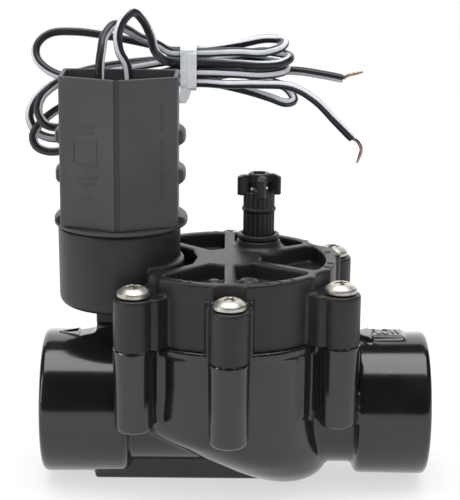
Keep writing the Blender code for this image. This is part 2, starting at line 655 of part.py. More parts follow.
def screw_shape(centre):
    """Stainless pan-head bonnet screw with a cross recess."""
    seat = BOSS_TOP + GAP
    top = seat + SCREW_HEAD_HEIGHT
    profile = rounded([(0.0, BOSS_TOP - SCREW_REACH), (SCREW_RADIUS - 0.8, BOSS_TOP - SCREW_REACH),
                       (SCREW_RADIUS, BOSS_TOP - SCREW_REACH + 1.2), (SCREW_RADIUS, seat),
                       (SCREW_HEAD_RADIUS, seat), (SCREW_HEAD_RADIUS, seat + 1.1),
                       (SCREW_HEAD_RADIUS - 0.9, seat + 2.1), (SCREW_HEAD_RADIUS - 2.3, top - 0.15),
                       (0.0, top)])
    half, arm = SCREW_RECESS_RADIUS * 1.5, SCREW_RECESS_RADIUS * 0.42
    floor = top - SCREW_RECESS_DEPTH
    x, y = centre
    return carve(turned(profile, x, y, SMALL_SEGMENTS), [
        ("DIFFERENCE", block((x - half, y - arm, floor), (x + half, y + arm, top + 1.0))),
        ("DIFFERENCE", block((x - arm, y - half, floor), (x + arm, y + half, top + 1.0))),
    ])


def fluted_sleeve(radius, low, high, depth=0.35):
    """Outside of the handle's grip: a round bar with shallow upright flutes."""
    outline = []
    steps = HANDLE_FLUTES * 2
    for step in range(steps):
        reach = radius if step % 2 == 0 else radius - depth
        angle = 2 * math.pi * (step + 0.4) / steps
        outline.append((FLOW_X + reach * math.cos(angle), FLOW_Y + reach * math.sin(angle)))
    return prism(outline, low, high)


def cross_outline():
    """Plan of the handle's four-armed head."""
    half, arm = HANDLE_SPAN / 2, HANDLE_ARM_WIDTH / 2
    waist = arm + 0.9
    quarter = [(half, -arm, 0.7), (half, arm, 0.7), (waist, waist)]
    corners = []
    for turn in range(4):
        swing = Matrix.Rotation(math.radians(90 * turn), 2)
        for x, y, *fillet in quarter:
            px, py = swing @ Vector((x, y))
            corners.append((px, py, *fillet))
    return [(FLOW_X + x, FLOW_Y + y) for x, y in rounded(corners, 2)]


def handle_shape():
    """Cross handle on its fluted sleeve, bored for the stem and with a square top socket."""
    half = HANDLE_SOCKET / 2
    collar = turned(rounded([(0.0, HANDLE_HEAD_BOTTOM - 2.6), (HANDLE_SLEEVE_RADIUS + 0.35, HANDLE_HEAD_BOTTOM - 2.6, 0.3),
                             (HANDLE_SLEEVE_RADIUS + 0.35, HANDLE_HEAD_BOTTOM - 1.4, 0.3),
                             (0.0, HANDLE_HEAD_BOTTOM - 1.4)], 2), FLOW_X, FLOW_Y, 32)
    return carve(fluted_sleeve(HANDLE_SLEEVE_RADIUS, HANDLE_SLEEVE_BOTTOM, HANDLE_HEAD_BOTTOM + 1.0), [
        ("UNION", collar),
        ("UNION", prism(cross_outline(), HANDLE_HEAD_BOTTOM, HANDLE_TOP)),
        ("DIFFERENCE", rod(STEM_RADIUS + GAP, HANDLE_SLEEVE_BOTTOM - 1.0, HANDLE_HEAD_BOTTOM + 2.0,
                           FLOW_X, FLOW_Y)),
        ("DIFFERENCE", block((FLOW_X - half, FLOW_Y - half, HANDLE_TOP - 2.4),
                             (FLOW_X + half, FLOW_Y + half, HANDLE_TOP + 1.0))),
    ])


def shroud_outline(inset=0.0):
    """Plan of the solenoid's shroud: a shallow point at the front and square at the back."""
    side, front = SHROUD_HALF_WIDTH - inset, SHROUD_FRONT - inset * 1.1
    corner, back = SHROUD_SIDE_FRONT - inset * 0.6, SHROUD_BACK - inset
    corners = [(0.0, -front, 1.2), (side, -corner, 1.2), (side, back, 0.8), (-side, back, 0.8),
               (-side, -corner, 1.2)]
    return [(SOLENOID_X + x, y) for x, y in rounded(corners, 2)]


def housing_shape():
    """Coil can with two ring flanges and the shroud that guards the leads."""
    bottom = BOWL_TOP + GAP + DISC_THICKNESS + GAP
    floor = SOLENOID_TOP - SHROUD_RECESS
    steps = [("UNION", prism(shroud_outline(), bottom, SOLENOID_TOP))]
    for low in RING_HEIGHTS:
        ring = rounded([(0.0, low), (DISC_RADIUS, low, 1.0), (DISC_RADIUS, low + RING_THICKNESS, 1.0),
                        (0.0, low + RING_THICKNESS)], 2)
        front = block((SOLENOID_X - DISC_RADIUS - 1.0, -DISC_RADIUS - 1.0, low - 1.0),
                      (SOLENOID_X + DISC_RADIUS + 1.0, -RING_FRONT, low + RING_THICKNESS + 1.0))
        ring = carve(turned(ring, SOLENOID_X, 0.0, RING_SEGMENTS), [("DIFFERENCE", front)])
        steps.append(("UNION", ring))
    cavity_top = COIL_TOP + BRACKET_THICKNESS + 2.4
    steps += [
        ("DIFFERENCE", prism(shroud_outline(SHROUD_WALL), floor, SOLENOID_TOP + 1.0)),
        ("DIFFERENCE", rod(CAN_RADIUS - CAN_WALL, bottom - 1.0, cavity_top, SOLENOID_X, segments=MID_SEGMENTS)),
    ]
    for x, y in LEAD_EXITS:
        steps.append(("DIFFERENCE", rod(LEAD_RADIUS + GAP, cavity_top - 1.0, floor + 1.0, x, y, 16)))
    can = rod(CAN_RADIUS, bottom, floor + 1.0, SOLENOID_X, segments=MID_SEGMENTS)
    return carve(can, steps)


def base_shape():
    """Disc flange with the threaded nose that screws into the bowl."""
    seat = BOWL_TOP + GAP
    nose = BOWL_BORE - GAP
    groove = 66.0
    profile = rounded([(CORE_RADIUS + CORE_WALL + GAP, 63.6), (nose - 1.0, 63.6), (nose, 64.6), (nose, groove),
                       (nose - 2.2, groove), (nose - 2.2, groove + 2.4), (nose, groove + 2.4), (nose, seat),
                       (DISC_RADIUS, seat, 0.5), (DISC_RADIUS, seat + DISC_THICKNESS, 1.2),
                       (CORE_RADIUS + CORE_WALL + GAP, seat + DISC_THICKNESS)], 2)
    return turned(profile, SOLENOID_X, 0.0, MID_SEGMENTS)


def bracket_shape():
    """Steel C-frame that carries the flux round the coil, bored for the core tube."""
    half, sheet = BRACKET_HALF_WIDTH, BRACKET_THICKNESS
    front, back = -half + 0.5, COIL_RADIUS + BOBBIN_FLANGE + GAP
    low, high = COIL_BOTTOM - sheet - GAP, COIL_TOP + GAP
    outline = [(front, low), (back + sheet, low), (back + sheet, high + sheet), (front, high + sheet),
               (front, high), (back, high), (back, low + sheet), (front, low + sheet)]
    frame = prism(outline, SOLENOID_X - half, SOLENOID_X + half)
    upright = Matrix(((0, 0, 1), (1, 0, 0), (0, 1, 0))).to_4x4()
    bmesh.ops.transform(frame, matrix=upright, verts=frame.verts)
    bore = CORE_RADIUS + CORE_WALL + GAP
    return carve(frame, [("DIFFERENCE", rod(bore, low - 1.0, high + sheet + 1.0, SOLENOID_X))])


def tie_shape():
    """Flat band closed round the gathered leads, with a short tail."""
    x, y, z = TIE_CENTRE
    half_y = 3.0 + LEAD_RADIUS + GAP + TIE_THICKNESS
    half_z = 4.5 + LEAD_RADIUS + GAP + TIE_THICKNESS
    loops = []
    for inset in (0.0, TIE_THICKNESS):
        corners = [(-half_y + inset, -half_z + inset, 2.2 - inset), (half_y - inset, -half_z + inset, 2.2 - inset),
                   (half_y - inset, half_z - inset, 2.2 - inset), (-half_y + inset, half_z - inset, 2.2 - inset)]
        loops.append([(y + cy, z + cz) for cy, cz in rounded(corners, 4)])
    upright = Matrix(((0, 0, 1), (1, 0, 0), (0, 1, 0))).to_4x4()
    band = prism(loops[0], x - TIE_WIDTH / 2, x + TIE_WIDTH / 2)
    hole = prism(loops[1], x - TIE_WIDTH, x + TIE_WIDTH)
    for shape in (band, hole):
        bmesh.ops.transform(shape, matrix=upright, verts=shape.verts)
    tail = block((x - TIE_WIDTH / 2 + 0.3, y - half_y + 0.1, z - half_z - 3.6),
                 (x + TIE_WIDTH / 2 - 0.9, y - half_y + TIE_THICKNESS, z - half_z + 3.0))
    return carve(band, [("DIFFERENCE", hole), ("UNION", tail)])


def build_leads(body, insulation, conductor, plastic):
    """Both leads with their stripped ends, and the tie that gathers them."""
    routes = (LEAD_ROUTE_1, LEAD_ROUTE_2)
    for index, (route, bare) in enumerate(zip(routes, CONDUCTOR_ROUTES), start=1):
        tube(f"lead_wire_{index}", smooth_route(route, LEAD_SPACING), LEAD_RADIUS, insulation, body)
        tube(f"lead_conductor_{index}", bare, CONDUCTOR_RADIUS, conductor, body)
    piece("wire_tie", tie_shape(), plastic, body)


def build():
    """Make every piece in its place."""
    clear_scene()
    body_plastic = finish("body_plastic", (0.012, 0.012, 0.013), 0.22)
    bonnet_plastic = finish("bonnet_plastic", (0.022, 0.022, 0.023), 0.45)
    shroud_plastic = finish("shroud_plastic", (0.036, 0.036, 0.034), 0.5)
    white_plastic = finish("white_plastic", (0.75, 0.75, 0.72), 0.5)
    insulation = finish("lead_insulation", (0.03, 0.03, 0.03), 0.4)
    rubber = finish("rubber", (0.02, 0.02, 0.02), 0.8)
    steel = finish("stainless_steel", (0.62, 0.60, 0.56), 0.25, 1.0)
    copper = finish("copper", (0.72, 0.36, 0.18), 0.35, 1.0)

    flow_stop = body_empty("flow_stop_body", (FLOW_X, FLOW_Y, RIM_HEIGHT))
    flow_turn = body_empty("flow_handle_body", (FLOW_X, FLOW_Y, RIM_HEIGHT), flow_stop)
    diaphragm = body_empty("diaphragm_body", (0.0, 0.0, PARTING_HEIGHT))
    solenoid = body_empty("solenoid_body", (SOLENOID_X, 0.0, BOWL_TOP))
    plunger = body_empty("plunger_body", (SOLENOID_X, 0.0, BOWL_TOP), solenoid)

    piece("valve_body", body_shape(), body_plastic)
    piece("bonnet", bonnet_shape(), bonnet_plastic)
    for index, (centre, _) in enumerate(bolt_places(), start=1):
        piece(f"bonnet_screw_{index}", screw_shape(centre), steel)
    build_diaphragm(diaphragm, rubber, white_plastic, steel)
    build_flow_control(flow_stop, flow_turn, bonnet_plastic, rubber, steel)
    build_solenoid(solenoid, shroud_plastic, rubber, steel, copper, white_plastic)
    build_pilot(plunger, rubber, steel, white_plastic)
    build_leads(solenoid, insulation, steel, white_plastic)


def build_diaphragm(body, rubber, plastic, steel):
    """Diaphragm, its plates, washer, guide, screw and spring."""
    washer_low = SEAT_HEIGHT + GAP
    washer_top = washer_low + WASHER_THICKNESS
    sheet_low = washer_top + GAP
    sheet_top = sheet_low + DIAPHRAGM_THICKNESS
    plate_low = sheet_top + GAP
    plate_top = plate_low + PLATE_THICKNESS
    bead_low = PARTING_HEIGHT - DIAPHRAGM_BEAD_HEIGHT / 2
    bead_top = bead_low + DIAPHRAGM_BEAD_HEIGHT
    bead_in = DIAPHRAGM_RADIUS - DIAPHRAGM_BEAD
    hub = 3.0
    rubber_profile = [(hub, sheet_low), (PLATE_RADIUS + 0.6, sheet_low), (bead_in - 1.6, bead_low - 2.0),
                      (bead_in, bead_low), (DIAPHRAGM_RADIUS, bead_low), (DIAPHRAGM_RADIUS, bead_top),
                      (bead_in, bead_top), (bead_in - 1.4, bead_low - 0.4), (PLATE_RADIUS + 0.8, sheet_top),
                      (hub, sheet_top)]
    piece("diaphragm", turned(rubber_profile, segments=MID_SEGMENTS), rubber, body)
    plate = turned([(hub, plate_low), (PLATE_RADIUS - 0.4, plate_low), (PLATE_RADIUS, plate_low + 0.4),
                    (PLATE_RADIUS, plate_top), (PLATE_RADIUS - 1.0, plate_top), (PLATE_RADIUS - 1.0, plate_top - 0.8),
                    (GUIDE_RADIUS, plate_top - 0.8), (GUIDE_RADIUS, plate_top + GUIDE_LENGTH),
                    (hub - 0.6, plate_top + GUIDE_LENGTH), (hub - 0.6, plate_top - 0.5), (hub, plate_top - 0.5)],
                   segments=MID_SEGMENTS)
    piece("diaphragm_plate", plate, plastic, body)
    washer = turned([(hub, washer_low), (WASHER_RADIUS, washer_low), (WASHER_RADIUS, washer_top), (hub, washer_top)],
                    segments=MID_SEGMENTS)
    piece("seat_washer", washer, rubber, body)
    guide_top = washer_low - GAP
    guide_radius = SEAT_RADIUS - 0.5
    vane = 0.8
    vanes = carve(rod(3.9, guide_top - 8.0, guide_top), [
        ("UNION", block((-guide_radius, -vane, guide_top - 8.0), (guide_radius, vane, guide_top - 2.4))),
        ("UNION", block((-vane, -guide_radius, guide_top - 8.0), (vane, guide_radius, guide_top - 2.4))),
        ("UNION", rod(guide_radius - 1.0, guide_top - 2.6, guide_top, segments=32)),
        ("DIFFERENCE", rod(2.0 + GAP, guide_top - 9.0, guide_top + 1.0)),
    ])
    piece("seat_guide", vanes, plastic, body)
    bolt_low = guide_top - 8.0 - GAP
    bolt = turned([(0.0, bolt_low - 2.2), (3.4, bolt_low - 2.2), (3.6, bolt_low), (2.0, bolt_low),
                   (2.0, plate_top + 2.0), (0.0, plate_top + 2.0)], segments=24)
    piece("diaphragm_screw", bolt, steel, body)
    room = RIM_HEIGHT - POCKET_DEPTH - DECK_THICKNESS
    piece("diaphragm_spring", coil(7.0, 0.6, plate_top - 0.8 + GAP, room - GAP, 4), steel, body)


def build_flow_control(stop_body, turn_body, plastic, rubber, steel):
    """Travelling stop, threaded stem, handle, gland, and the seals beside them."""
    room = RIM_HEIGHT - POCKET_DEPTH - DECK_THICKNESS
    stem_low = room - 1.6
    stem = turned([(0.0, stem_low), (STEM_RADIUS, stem_low), (STEM_RADIUS, HANDLE_HEAD_BOTTOM + 1.6),
                   (0.0, HANDLE_HEAD_BOTTOM + 1.6)], FLOW_X, FLOW_Y, 24)
    piece("flow_stem", stem, steel, turn_body)
    piece("flow_handle", handle_shape(), plastic, turn_body)
    stop = turned(rounded([(0.0, stem_low - GAP - 1.2), (3.6, stem_low - GAP - 1.2, 0.3), (3.6, stem_low - GAP),
                           (0.0, stem_low - GAP)], 2), FLOW_X, FLOW_Y, 24)
    piece("flow_stop", stop, plastic, stop_body)
    floor = RIM_HEIGHT - POCKET_DEPTH - 2.0
    stem_seal = ring_seal(STEM_RADIUS + STEM_SEAL_SECTION + GAP / 2, STEM_SEAL_SECTION,
                          floor + STEM_SEAL_SECTION + GAP / 2, FLOW_X, FLOW_Y, 24)
    piece("flow_stem_seal", stem_seal, rubber)
    gland_low = FLOW_BOSS_TOP + GAP
    gland = turned([(FLOW_BOSS_BORE, gland_low), (GLAND_RADIUS, gland_low), (GLAND_RADIUS, gland_low + GLAND_HEIGHT - 0.4),
                    (GLAND_RADIUS - 0.4, gland_low + GLAND_HEIGHT), (FLOW_BOSS_BORE, gland_low + GLAND_HEIGHT)],
                   FLOW_X, FLOW_Y, MID_SEGMENTS)
    piece("flow_gland", gland, plastic)
    exhaust_seal = ring_seal(EXHAUST_SEAL_ROOM - GAP / 2 - EXHAUST_SEAL_SECTION, EXHAUST_SEAL_SECTION,
                             PARTING_HEIGHT - EXHAUST_SEAL_SECTION, EXHAUST_X, 0.0, 24)
    piece("exhaust_seal", exhaust_seal, rubber)


def build_solenoid(body, shroud, rubber, steel, copper, plastic):
    """Housing, base, coil, bobbin, flux frame, core tube, pole piece, seals and grommets."""
    piece("solenoid_housing", housing_shape(), shroud, body)
    piece("solenoid_base", base_shape(), shroud, body)
    piece("solenoid_seal", ring_seal(BOWL_BORE - 1.35, 0.8, 67.2, SOLENOID_X), rubber, body)
    core = CORE_RADIUS + CORE_WALL
    sleeve = turned([(CORE_RADIUS, 63.9), (core, 63.9), (core, 99.0), (CORE_RADIUS, 99.0)], SOLENOID_X, 0.0, 24)
    piece("core_tube", sleeve, steel, body)
    pole_low = PLUNGER_TOP + PLUNGER_STROKE + 0.6
    pole = turned([(0.0, pole_low), (CORE_RADIUS - GAP, pole_low), (CORE_RADIUS - GAP, 98.6), (0.0, 98.6)],
                  SOLENOID_X, 0.0, 24)
    piece("pole_piece", pole, steel, body)
    inner = core + GAP
    bobbin = turned([(inner, COIL_BOTTOM), (COIL_RADIUS + 0.6, COIL_BOTTOM), (COIL_RADIUS + 0.6, COIL_BOTTOM + BOBBIN_FLANGE),
                     (inner + 1.0, COIL_BOTTOM + BOBBIN_FLANGE), (inner + 1.0, COIL_TOP - BOBBIN_FLANGE),
                     (COIL_RADIUS + 0.6, COIL_TOP - BOBBIN_FLANGE), (COIL_RADIUS + 0.6, COIL_TOP), (inner, COIL_TOP)],
                    SOLENOID_X, 0.0, 32)
    piece("coil_bobbin", bobbin, plastic, body)
    winding = turned([(inner + 1.0 + GAP, COIL_BOTTOM + BOBBIN_FLANGE + GAP), (COIL_RADIUS, COIL_BOTTOM + BOBBIN_FLANGE + GAP),
                      (COIL_RADIUS, COIL_TOP - BOBBIN_FLANGE - GAP), (inner + 1.0 + GAP, COIL_TOP - BOBBIN_FLANGE - GAP)],
                     SOLENOID_X, 0.0, 32)
    piece("coil_winding", winding, copper, body)
    piece("flux_bracket", bracket_shape(), steel, body)
    floor = SOLENOID_TOP - SHROUD_RECESS + GAP
    for index, (x, y) in enumerate(LEAD_EXITS, start=1):
        bore = LEAD_RADIUS + GAP
        collar = turned([(bore, floor), (2.6, floor), (2.2, floor + 2.2), (bore, floor + 2.2)], x, y, 16)
        piece(f"lead_grommet_{index}", collar, rubber, body)


def build_pilot(body, rubber, steel, plastic):
    """Plunger with its seal and spring, and the pilot seat below it."""
    seat = turned([(0.8, BOWL_FLOOR + GAP), (3.4, BOWL_FLOOR + GAP), (3.4, BOWL_FLOOR + 1.2), (1.6, BOWL_FLOOR + 2.4),
                   (0.8, BOWL_FLOOR + 2.4)], SOLENOID_X, 0.0, 24)
    piece("pilot_seat", seat, plastic)
    seal_low = BOWL_FLOOR + 2.4 + GAP
    seal = rod(2.3, seal_low, seal_low + 1.6, SOLENOID_X)
    piece("plunger_seal", seal, rubber, body)
    foot = seal_low + 0.7
    spring_floor = PLUNGER_TOP - 9.0
    shape = turned([(0.0, seal_low + 1.6 + GAP), (2.3 + GAP, seal_low + 1.6 + GAP), (2.3 + GAP, foot),
                    (PLUNGER_RADIUS - 0.4, foot), (PLUNGER_RADIUS, foot + 0.4), (PLUNGER_RADIUS, PLUNGER_TOP - 0.4),
                    (PLUNGER_RADIUS - 0.4, PLUNGER_TOP), (2.4, PLUNGER_TOP), (2.4, spring_floor), (0.0, spring_floor)],
                   SOLENOID_X, 0.0, 24)
    piece("plunger", shape, steel, body)
    spring = coil(1.7, 0.3, spring_floor + GAP, PLUNGER_TOP + PLUNGER_STROKE + 0.3, 6, SOLENOID_X, steps=8)
    piece("plunger_spring", spring, steel, body)


build()
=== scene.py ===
"""Studio scene of an inline solenoid irrigation valve.

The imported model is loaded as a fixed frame. Each sub-assembly then models the
pieces that show, dresses the ones that stay, and rides on the frame's bodies.
Sizes are in millimetres and every mesh is built in metres, with +Z up, +X towards
the inlet and the front at -Y.
"""

from __future__ import annotations

import json
import logging
import math
import sys
from dataclasses import dataclass, field
from enum import Enum
from typing import Any, Iterable, Sequence

import bpy
from mathutils import Matrix, Vector

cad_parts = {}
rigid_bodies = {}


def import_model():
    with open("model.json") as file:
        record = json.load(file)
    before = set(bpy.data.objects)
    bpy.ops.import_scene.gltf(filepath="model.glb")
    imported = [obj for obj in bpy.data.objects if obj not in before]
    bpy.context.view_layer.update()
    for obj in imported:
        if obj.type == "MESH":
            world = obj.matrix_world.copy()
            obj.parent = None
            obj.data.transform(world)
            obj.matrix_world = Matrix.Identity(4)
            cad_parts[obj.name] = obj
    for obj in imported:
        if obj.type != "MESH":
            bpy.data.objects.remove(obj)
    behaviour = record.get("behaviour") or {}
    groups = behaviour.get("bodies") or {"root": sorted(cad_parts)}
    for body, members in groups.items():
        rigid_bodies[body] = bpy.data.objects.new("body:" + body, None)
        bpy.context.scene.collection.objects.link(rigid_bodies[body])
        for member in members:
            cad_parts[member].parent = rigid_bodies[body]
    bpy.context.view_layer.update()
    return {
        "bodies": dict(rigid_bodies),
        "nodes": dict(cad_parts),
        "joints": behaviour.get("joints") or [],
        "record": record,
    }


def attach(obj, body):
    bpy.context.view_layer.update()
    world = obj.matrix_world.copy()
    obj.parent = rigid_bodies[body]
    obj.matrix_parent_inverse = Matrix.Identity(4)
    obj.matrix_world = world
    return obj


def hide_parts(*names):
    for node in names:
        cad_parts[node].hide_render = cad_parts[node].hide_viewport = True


LOG = logging.getLogger("solenoid_valve")
MM = 0.001
Piece = bpy.types.Object
Material = bpy.types.Material
Point = tuple[float, float, float]
Corner = tuple[float, ...]
Outline = list[tuple[float, float]]
Ring = tuple[float, float, float, float]

# Edges that turn by less than this are shaded smooth.
SMOOTH_TURNED = math.radians(32.0)
SMOOTH_MOULDED = math.radians(50.0)

# Places in plan that several sub-assemblies share.
SOLENOID_X = -31.0
EXHAUST_X = -35.5
FLOW_CONTROL = (8.4, 12.5)
LEAD_EXITS = ((-36.5, -3.0), (-28.5, -1.0))

# Radii of the holes that the bonnet screws and the exhaust pass through.
SCREW_HOLE = 2.7
EXHAUST_HOLE = 1.0

# The tie gathers the leads here, and holds them straight for this far on each side.
TIE_X = -12.5
TIE_STRAIGHT = 5.0

# The way the stripes of the leads mostly face: forwards and up.
STRIPE_FACES = Vector((0.0, -0.9, 0.4))


class Body(Enum):
    """The bodies that modelled pieces ride on."""

    FIXED = "root"
    HANDLE = "flow_handle"
    SOLENOID = "solenoid"


class Slot(Enum):
    """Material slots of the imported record."""

    BODY = "body_plastic"
    BONNET = "bonnet_plastic"
    SHROUD = "shroud_plastic"
    NYLON = "white_plastic"
    LEAD = "lead_insulation"
    RUBBER = "rubber"
    STEEL = "stainless"
    COPPER = "copper"


class Axis(Enum):
    """Direction of a round primitive, as its turn about Y."""

    UP = 0.0
    FLOW = math.pi / 2


class Join(Enum):
    """How a tool piece acts on a base piece."""

    ADD = "UNION"
    CUT = "DIFFERENCE"


# ---------------------------------------------------------------- shader maths


class Field:
    """A shader socket that Python's operators work on."""

    def __init__(self, graph: "Graph", socket: bpy.types.NodeSocket) -> None:
        """Keep the socket and the graph it belongs to."""
        self.graph = graph
        self.socket = socket

    def maths(self, operation: str, other: Any) -> "Field":
        """Add one Math node between this field and another field or a number."""
        return self.graph.out(self.graph.add("Math", {"operation": operation}, {0: self, 1: other}))

    def __add__(self, other: Any) -> "Field":
        """Sum."""
        return self.maths("ADD", other)

    def __sub__(self, other: Any) -> "Field":
        """Difference."""
        return self.maths("SUBTRACT", other)

    def __mul__(self, other: Any) -> "Field":
        """Product."""
        return self.maths("MULTIPLY", other)

    def step(self, low: float, high: float) -> "Field":
        """Smooth rise from 0 at low to 1 at high."""
        node = self.graph.add("MapRange", {"interpolation_type": "SMOOTHSTEP"},
                              {"Value": self, "From Min": low, "From Max": high})
        return self.graph.out(node)


class Graph:
    """Node tree of one material."""

    def __init__(self, name: str) -> None:
        """Make an empty material.

        Args:
            name: the material's name.
        """
        self.material = bpy.data.materials.new(name)
        self.material.use_nodes = True
        self.tree = self.material.node_tree
        self.tree.nodes.clear()

    def add(self, kind: str, settings: dict[str, Any] | None = None,
            inputs: dict[str | int, Any] | None = None) -> bpy.types.Node:
        """Add one node.

        Args:
            kind: the node's type without its ShaderNode prefix.
            settings: properties, which are set first.
            inputs: values or fields of its sockets, by name or number.

        Returns:
            The node.
        """
        node = self.tree.nodes.new("ShaderNode" + kind)
        for name, value in (settings or {}).items():
            setattr(node, name, value)
        for name, value in (inputs or {}).items():
            if isinstance(value, Field):
                self.tree.links.new(value.socket, node.inputs[name])
            else:
                node.inputs[name].default_value = value
        return node

    def out(self, node: bpy.types.Node, name: str | int = 0) -> Field:
        """One output of a node as a field."""
        return Field(self, node.outputs[name])

    def place(self, scale: Point = (1.0, 1.0, 1.0)) -> Field:
        """Object coordinates, stretched by a scale."""
        coordinates = self.out(self.add("TexCoord"), "Object")
        if scale == (1.0, 1.0, 1.0):
            return coordinates
        return self.out(self.add("Mapping", inputs={"Vector": coordinates, "Scale": scale}))

    def noise(self, place: Field, scale: float, detail: float = 3.0, roughness: float = 0.55) -> Field:
        """Grey noise at a scale in features to the metre."""
        node = self.add("TexNoise", inputs={"Vector": place, "Scale": scale, "Detail": detail,
                                            "Roughness": roughness})
        return self.out(node, "Fac")

    def mix(self, mask: Field, low: Sequence[float], high: Sequence[float]) -> Field:
        """Colour between low and high by a mask."""
        node = self.add("Mix", {"data_type": "RGBA"}, {0: mask, 6: (*low, 1.0), 7: (*high, 1.0)})
        return self.out(node, 2)

    def bump(self, height: Field, strength: float, depth: float, edge: float = 0.0) -> Field:
        """Normal from a height field.

        Args:
            height: the field.
            strength: share of the effect, 0 to 1.
            depth: height in metres of a full step.
            edge: radius in metres that edges are eased by, or 0.

        Returns:
            The normal.
        """
        inputs: dict[str | int, Any] = {"Height": height, "Strength": strength, "Distance": depth}
        if edge:
            inputs["Normal"] = self.out(self.add("Bevel", {"samples": 4}, {"Radius": edge}))
        return self.out(self.add("Bump", inputs=inputs))

    def surface(self, **inputs: Any) -> Material:
        """Close the graph with a Principled BSDF.

        Args:
            inputs: the shader's sockets, with underscores for spaces.

        Returns:
            The finished material.
        """
        named = {name.replace("_", " "): value for name, value in inputs.items()}
        shader = self.add("BsdfPrincipled", inputs=named)
        end = self.add("OutputMaterial")
        self.tree.links.new(shader.outputs[0], end.inputs[0])
        return self.material


@dataclass(frozen=True)
class MouldedPlastic:
    """Black moulding with an orange-peel skin, flow mottling and stray dust."""

    name: str
    colour: Point
    roughness: float
    mottle: float = 0.06
    grain: float = 2600.0
    grain_depth: float = 0.00003
    level: float = 0.35
    coat: float = 0.0
    edge: float = 0.0003
    dust: float = 0.35

    def material(self) -> Material:
        """Build the material."""
        graph = Graph(self.name)
        place = graph.place()
        peel = graph.noise(place, self.grain, 2.0)
        broad = graph.noise(place, 55.0, 3.0)
        scuff = graph.noise(graph.place((1.0, 1.0, 3.0)), 420.0, 6.0, 0.7)
        patches = graph.noise(place, 160.0, 2.0).step(0.45, 0.7)
        specks = graph.noise(place, 1900.0, 1.0).step(0.72, 0.78) * patches
        wear = (specks * self.dust + scuff.step(0.6, 0.8) * 0.12).maths("MINIMUM", 1.0)
        lighter = tuple(value * 2.0 + 0.012 for value in self.colour)
        mask = (wear + broad.step(0.3, 0.7) * 0.22).maths("MINIMUM", 1.0)
        rough = broad * self.mottle + scuff * 0.08 + (self.roughness - self.mottle / 2 - 0.04) + wear * 0.12
        coat = {"Coat_Weight": self.coat, "Coat_Roughness": 0.08} if self.coat else {}
        return graph.surface(
            Base_Color=graph.mix(mask, self.colour, lighter),
            Roughness=rough,
            Specular_IOR_Level=self.level,
            Normal=graph.bump(peel + broad * 3.0, 0.5, self.grain_depth, self.edge),
            **coat)


@dataclass(frozen=True)
class TurnedMetal:
    """Bare metal with fine tool marks and a faint tarnish."""

    name: str
    colour: Point
    tarnish: Point
    roughness: float
    marks: float = 5200.0

    def material(self) -> Material:
        """Build the material."""
        graph = Graph(self.name)
        place = graph.place()
        lines = graph.noise(graph.place((1.0, 1.0, 0.12)), self.marks, 2.0)
        cloud = graph.noise(place, 300.0, 4.0)
        return graph.surface(
            Base_Color=graph.mix(cloud.step(0.4, 0.75), self.colour, self.tarnish),
            Metallic=1.0,
            Roughness=lines * 0.14 + cloud * 0.1 + (self.roughness - 0.12),
            Normal=graph.bump(lines, 0.25, 0.00002, 0.0002))


@dataclass(frozen=True)
class Nylon:
    """Milky natural nylon."""

    name: str
    colour: Point = (0.46, 0.475, 0.48)
    roughness: float = 0.32

    def material(self) -> Material:
        """Build the material."""
        graph = Graph(self.name)
        place = graph.place()
        cloud = graph.noise(place, 500.0, 3.0)
        shade = tuple(value * 0.88 for value in self.colour)
        return graph.surface(Base_Color=graph.mix(cloud.step(0.3, 0.7), self.colour, shade),
                             Roughness=cloud * 0.15 + (self.roughness - 0.07),
                             Normal=graph.bump(cloud, 0.2, 0.00005, 0.0002),
                             Subsurface_Weight=0.25, Subsurface_Scale=0.001)


@dataclass(frozen=True)
class MouldedRubber:
    """Matt rubber with a fine tooth."""

    name: str
    colour: Point = (0.010, 0.010, 0.011)

    def material(self) -> Material:
        """Build the material."""
        graph = Graph(self.name)
        place = graph.place()
        tooth = graph.noise(place, 3000.0, 2.0)
        bloom = graph.noise(place, 200.0, 4.0)
        pale = tuple(value * 2.4 for value in self.colour)
        return graph.surface(Base_Color=graph.mix(bloom.step(0.45, 0.8), self.colour, pale),
                             Roughness=bloom * 0.2 + 0.6, Specular_IOR_Level=0.3,
                             Normal=graph.bump(tooth, 0.4, 0.00004, 0.0002))


@dataclass(frozen=True)
class StripedVinyl:
    """Black insulation with a pale stripe that the mesh marks in its stripe attribute."""

    name: str
    colour: Point = (0.010, 0.010, 0.012)
    stripe: Point = (0.40, 0.41, 0.43)
    edge: float = 0.86

    def material(self) -> Material:
        """Build the material."""
        graph = Graph(self.name)
        around = graph.out(graph.add("Attribute", {"attribute_name": "stripe"}), "Fac")
        place = graph.place()
        ragged = graph.noise(place, 1500.0, 2.0)
        smear = graph.noise(place, 350.0, 3.0)
        mask = (around + ragged * 0.05 - 0.025).step(self.edge - 0.035, self.edge + 0.035)
        painted = mask * (smear * 0.35 + 0.72).maths("MINIMUM", 1.0)
        return graph.surface(Base_Color=graph.mix(painted, self.colour, self.stripe),
                             Roughness=smear * 0.2 + 0.24 + mask * 0.1, Specular_IOR_Level=0.45,
                             Normal=graph.bump(smear, 0.15, 0.00006))


@dataclass(frozen=True)
class StudioPaper:
    """Pale paper, lit from behind so that shadows on it stay soft."""

    name: str
    glow: float
    colour: Point = (0.20, 0.20, 0.20)

    def material(self) -> Material:
        """Build the material."""
        graph = Graph(self.name)
        fibre = graph.noise(graph.place(), 900.0, 3.0)
        soft = tuple(value * 0.985 for value in self.colour)
        return graph.surface(Base_Color=graph.mix(fibre, self.colour, soft), Roughness=0.9,
                             Specular_IOR_Level=0.1, Emission_Color=(1.0, 1.0, 1.0, 1.0),
                             Emission_Strength=self.glow)


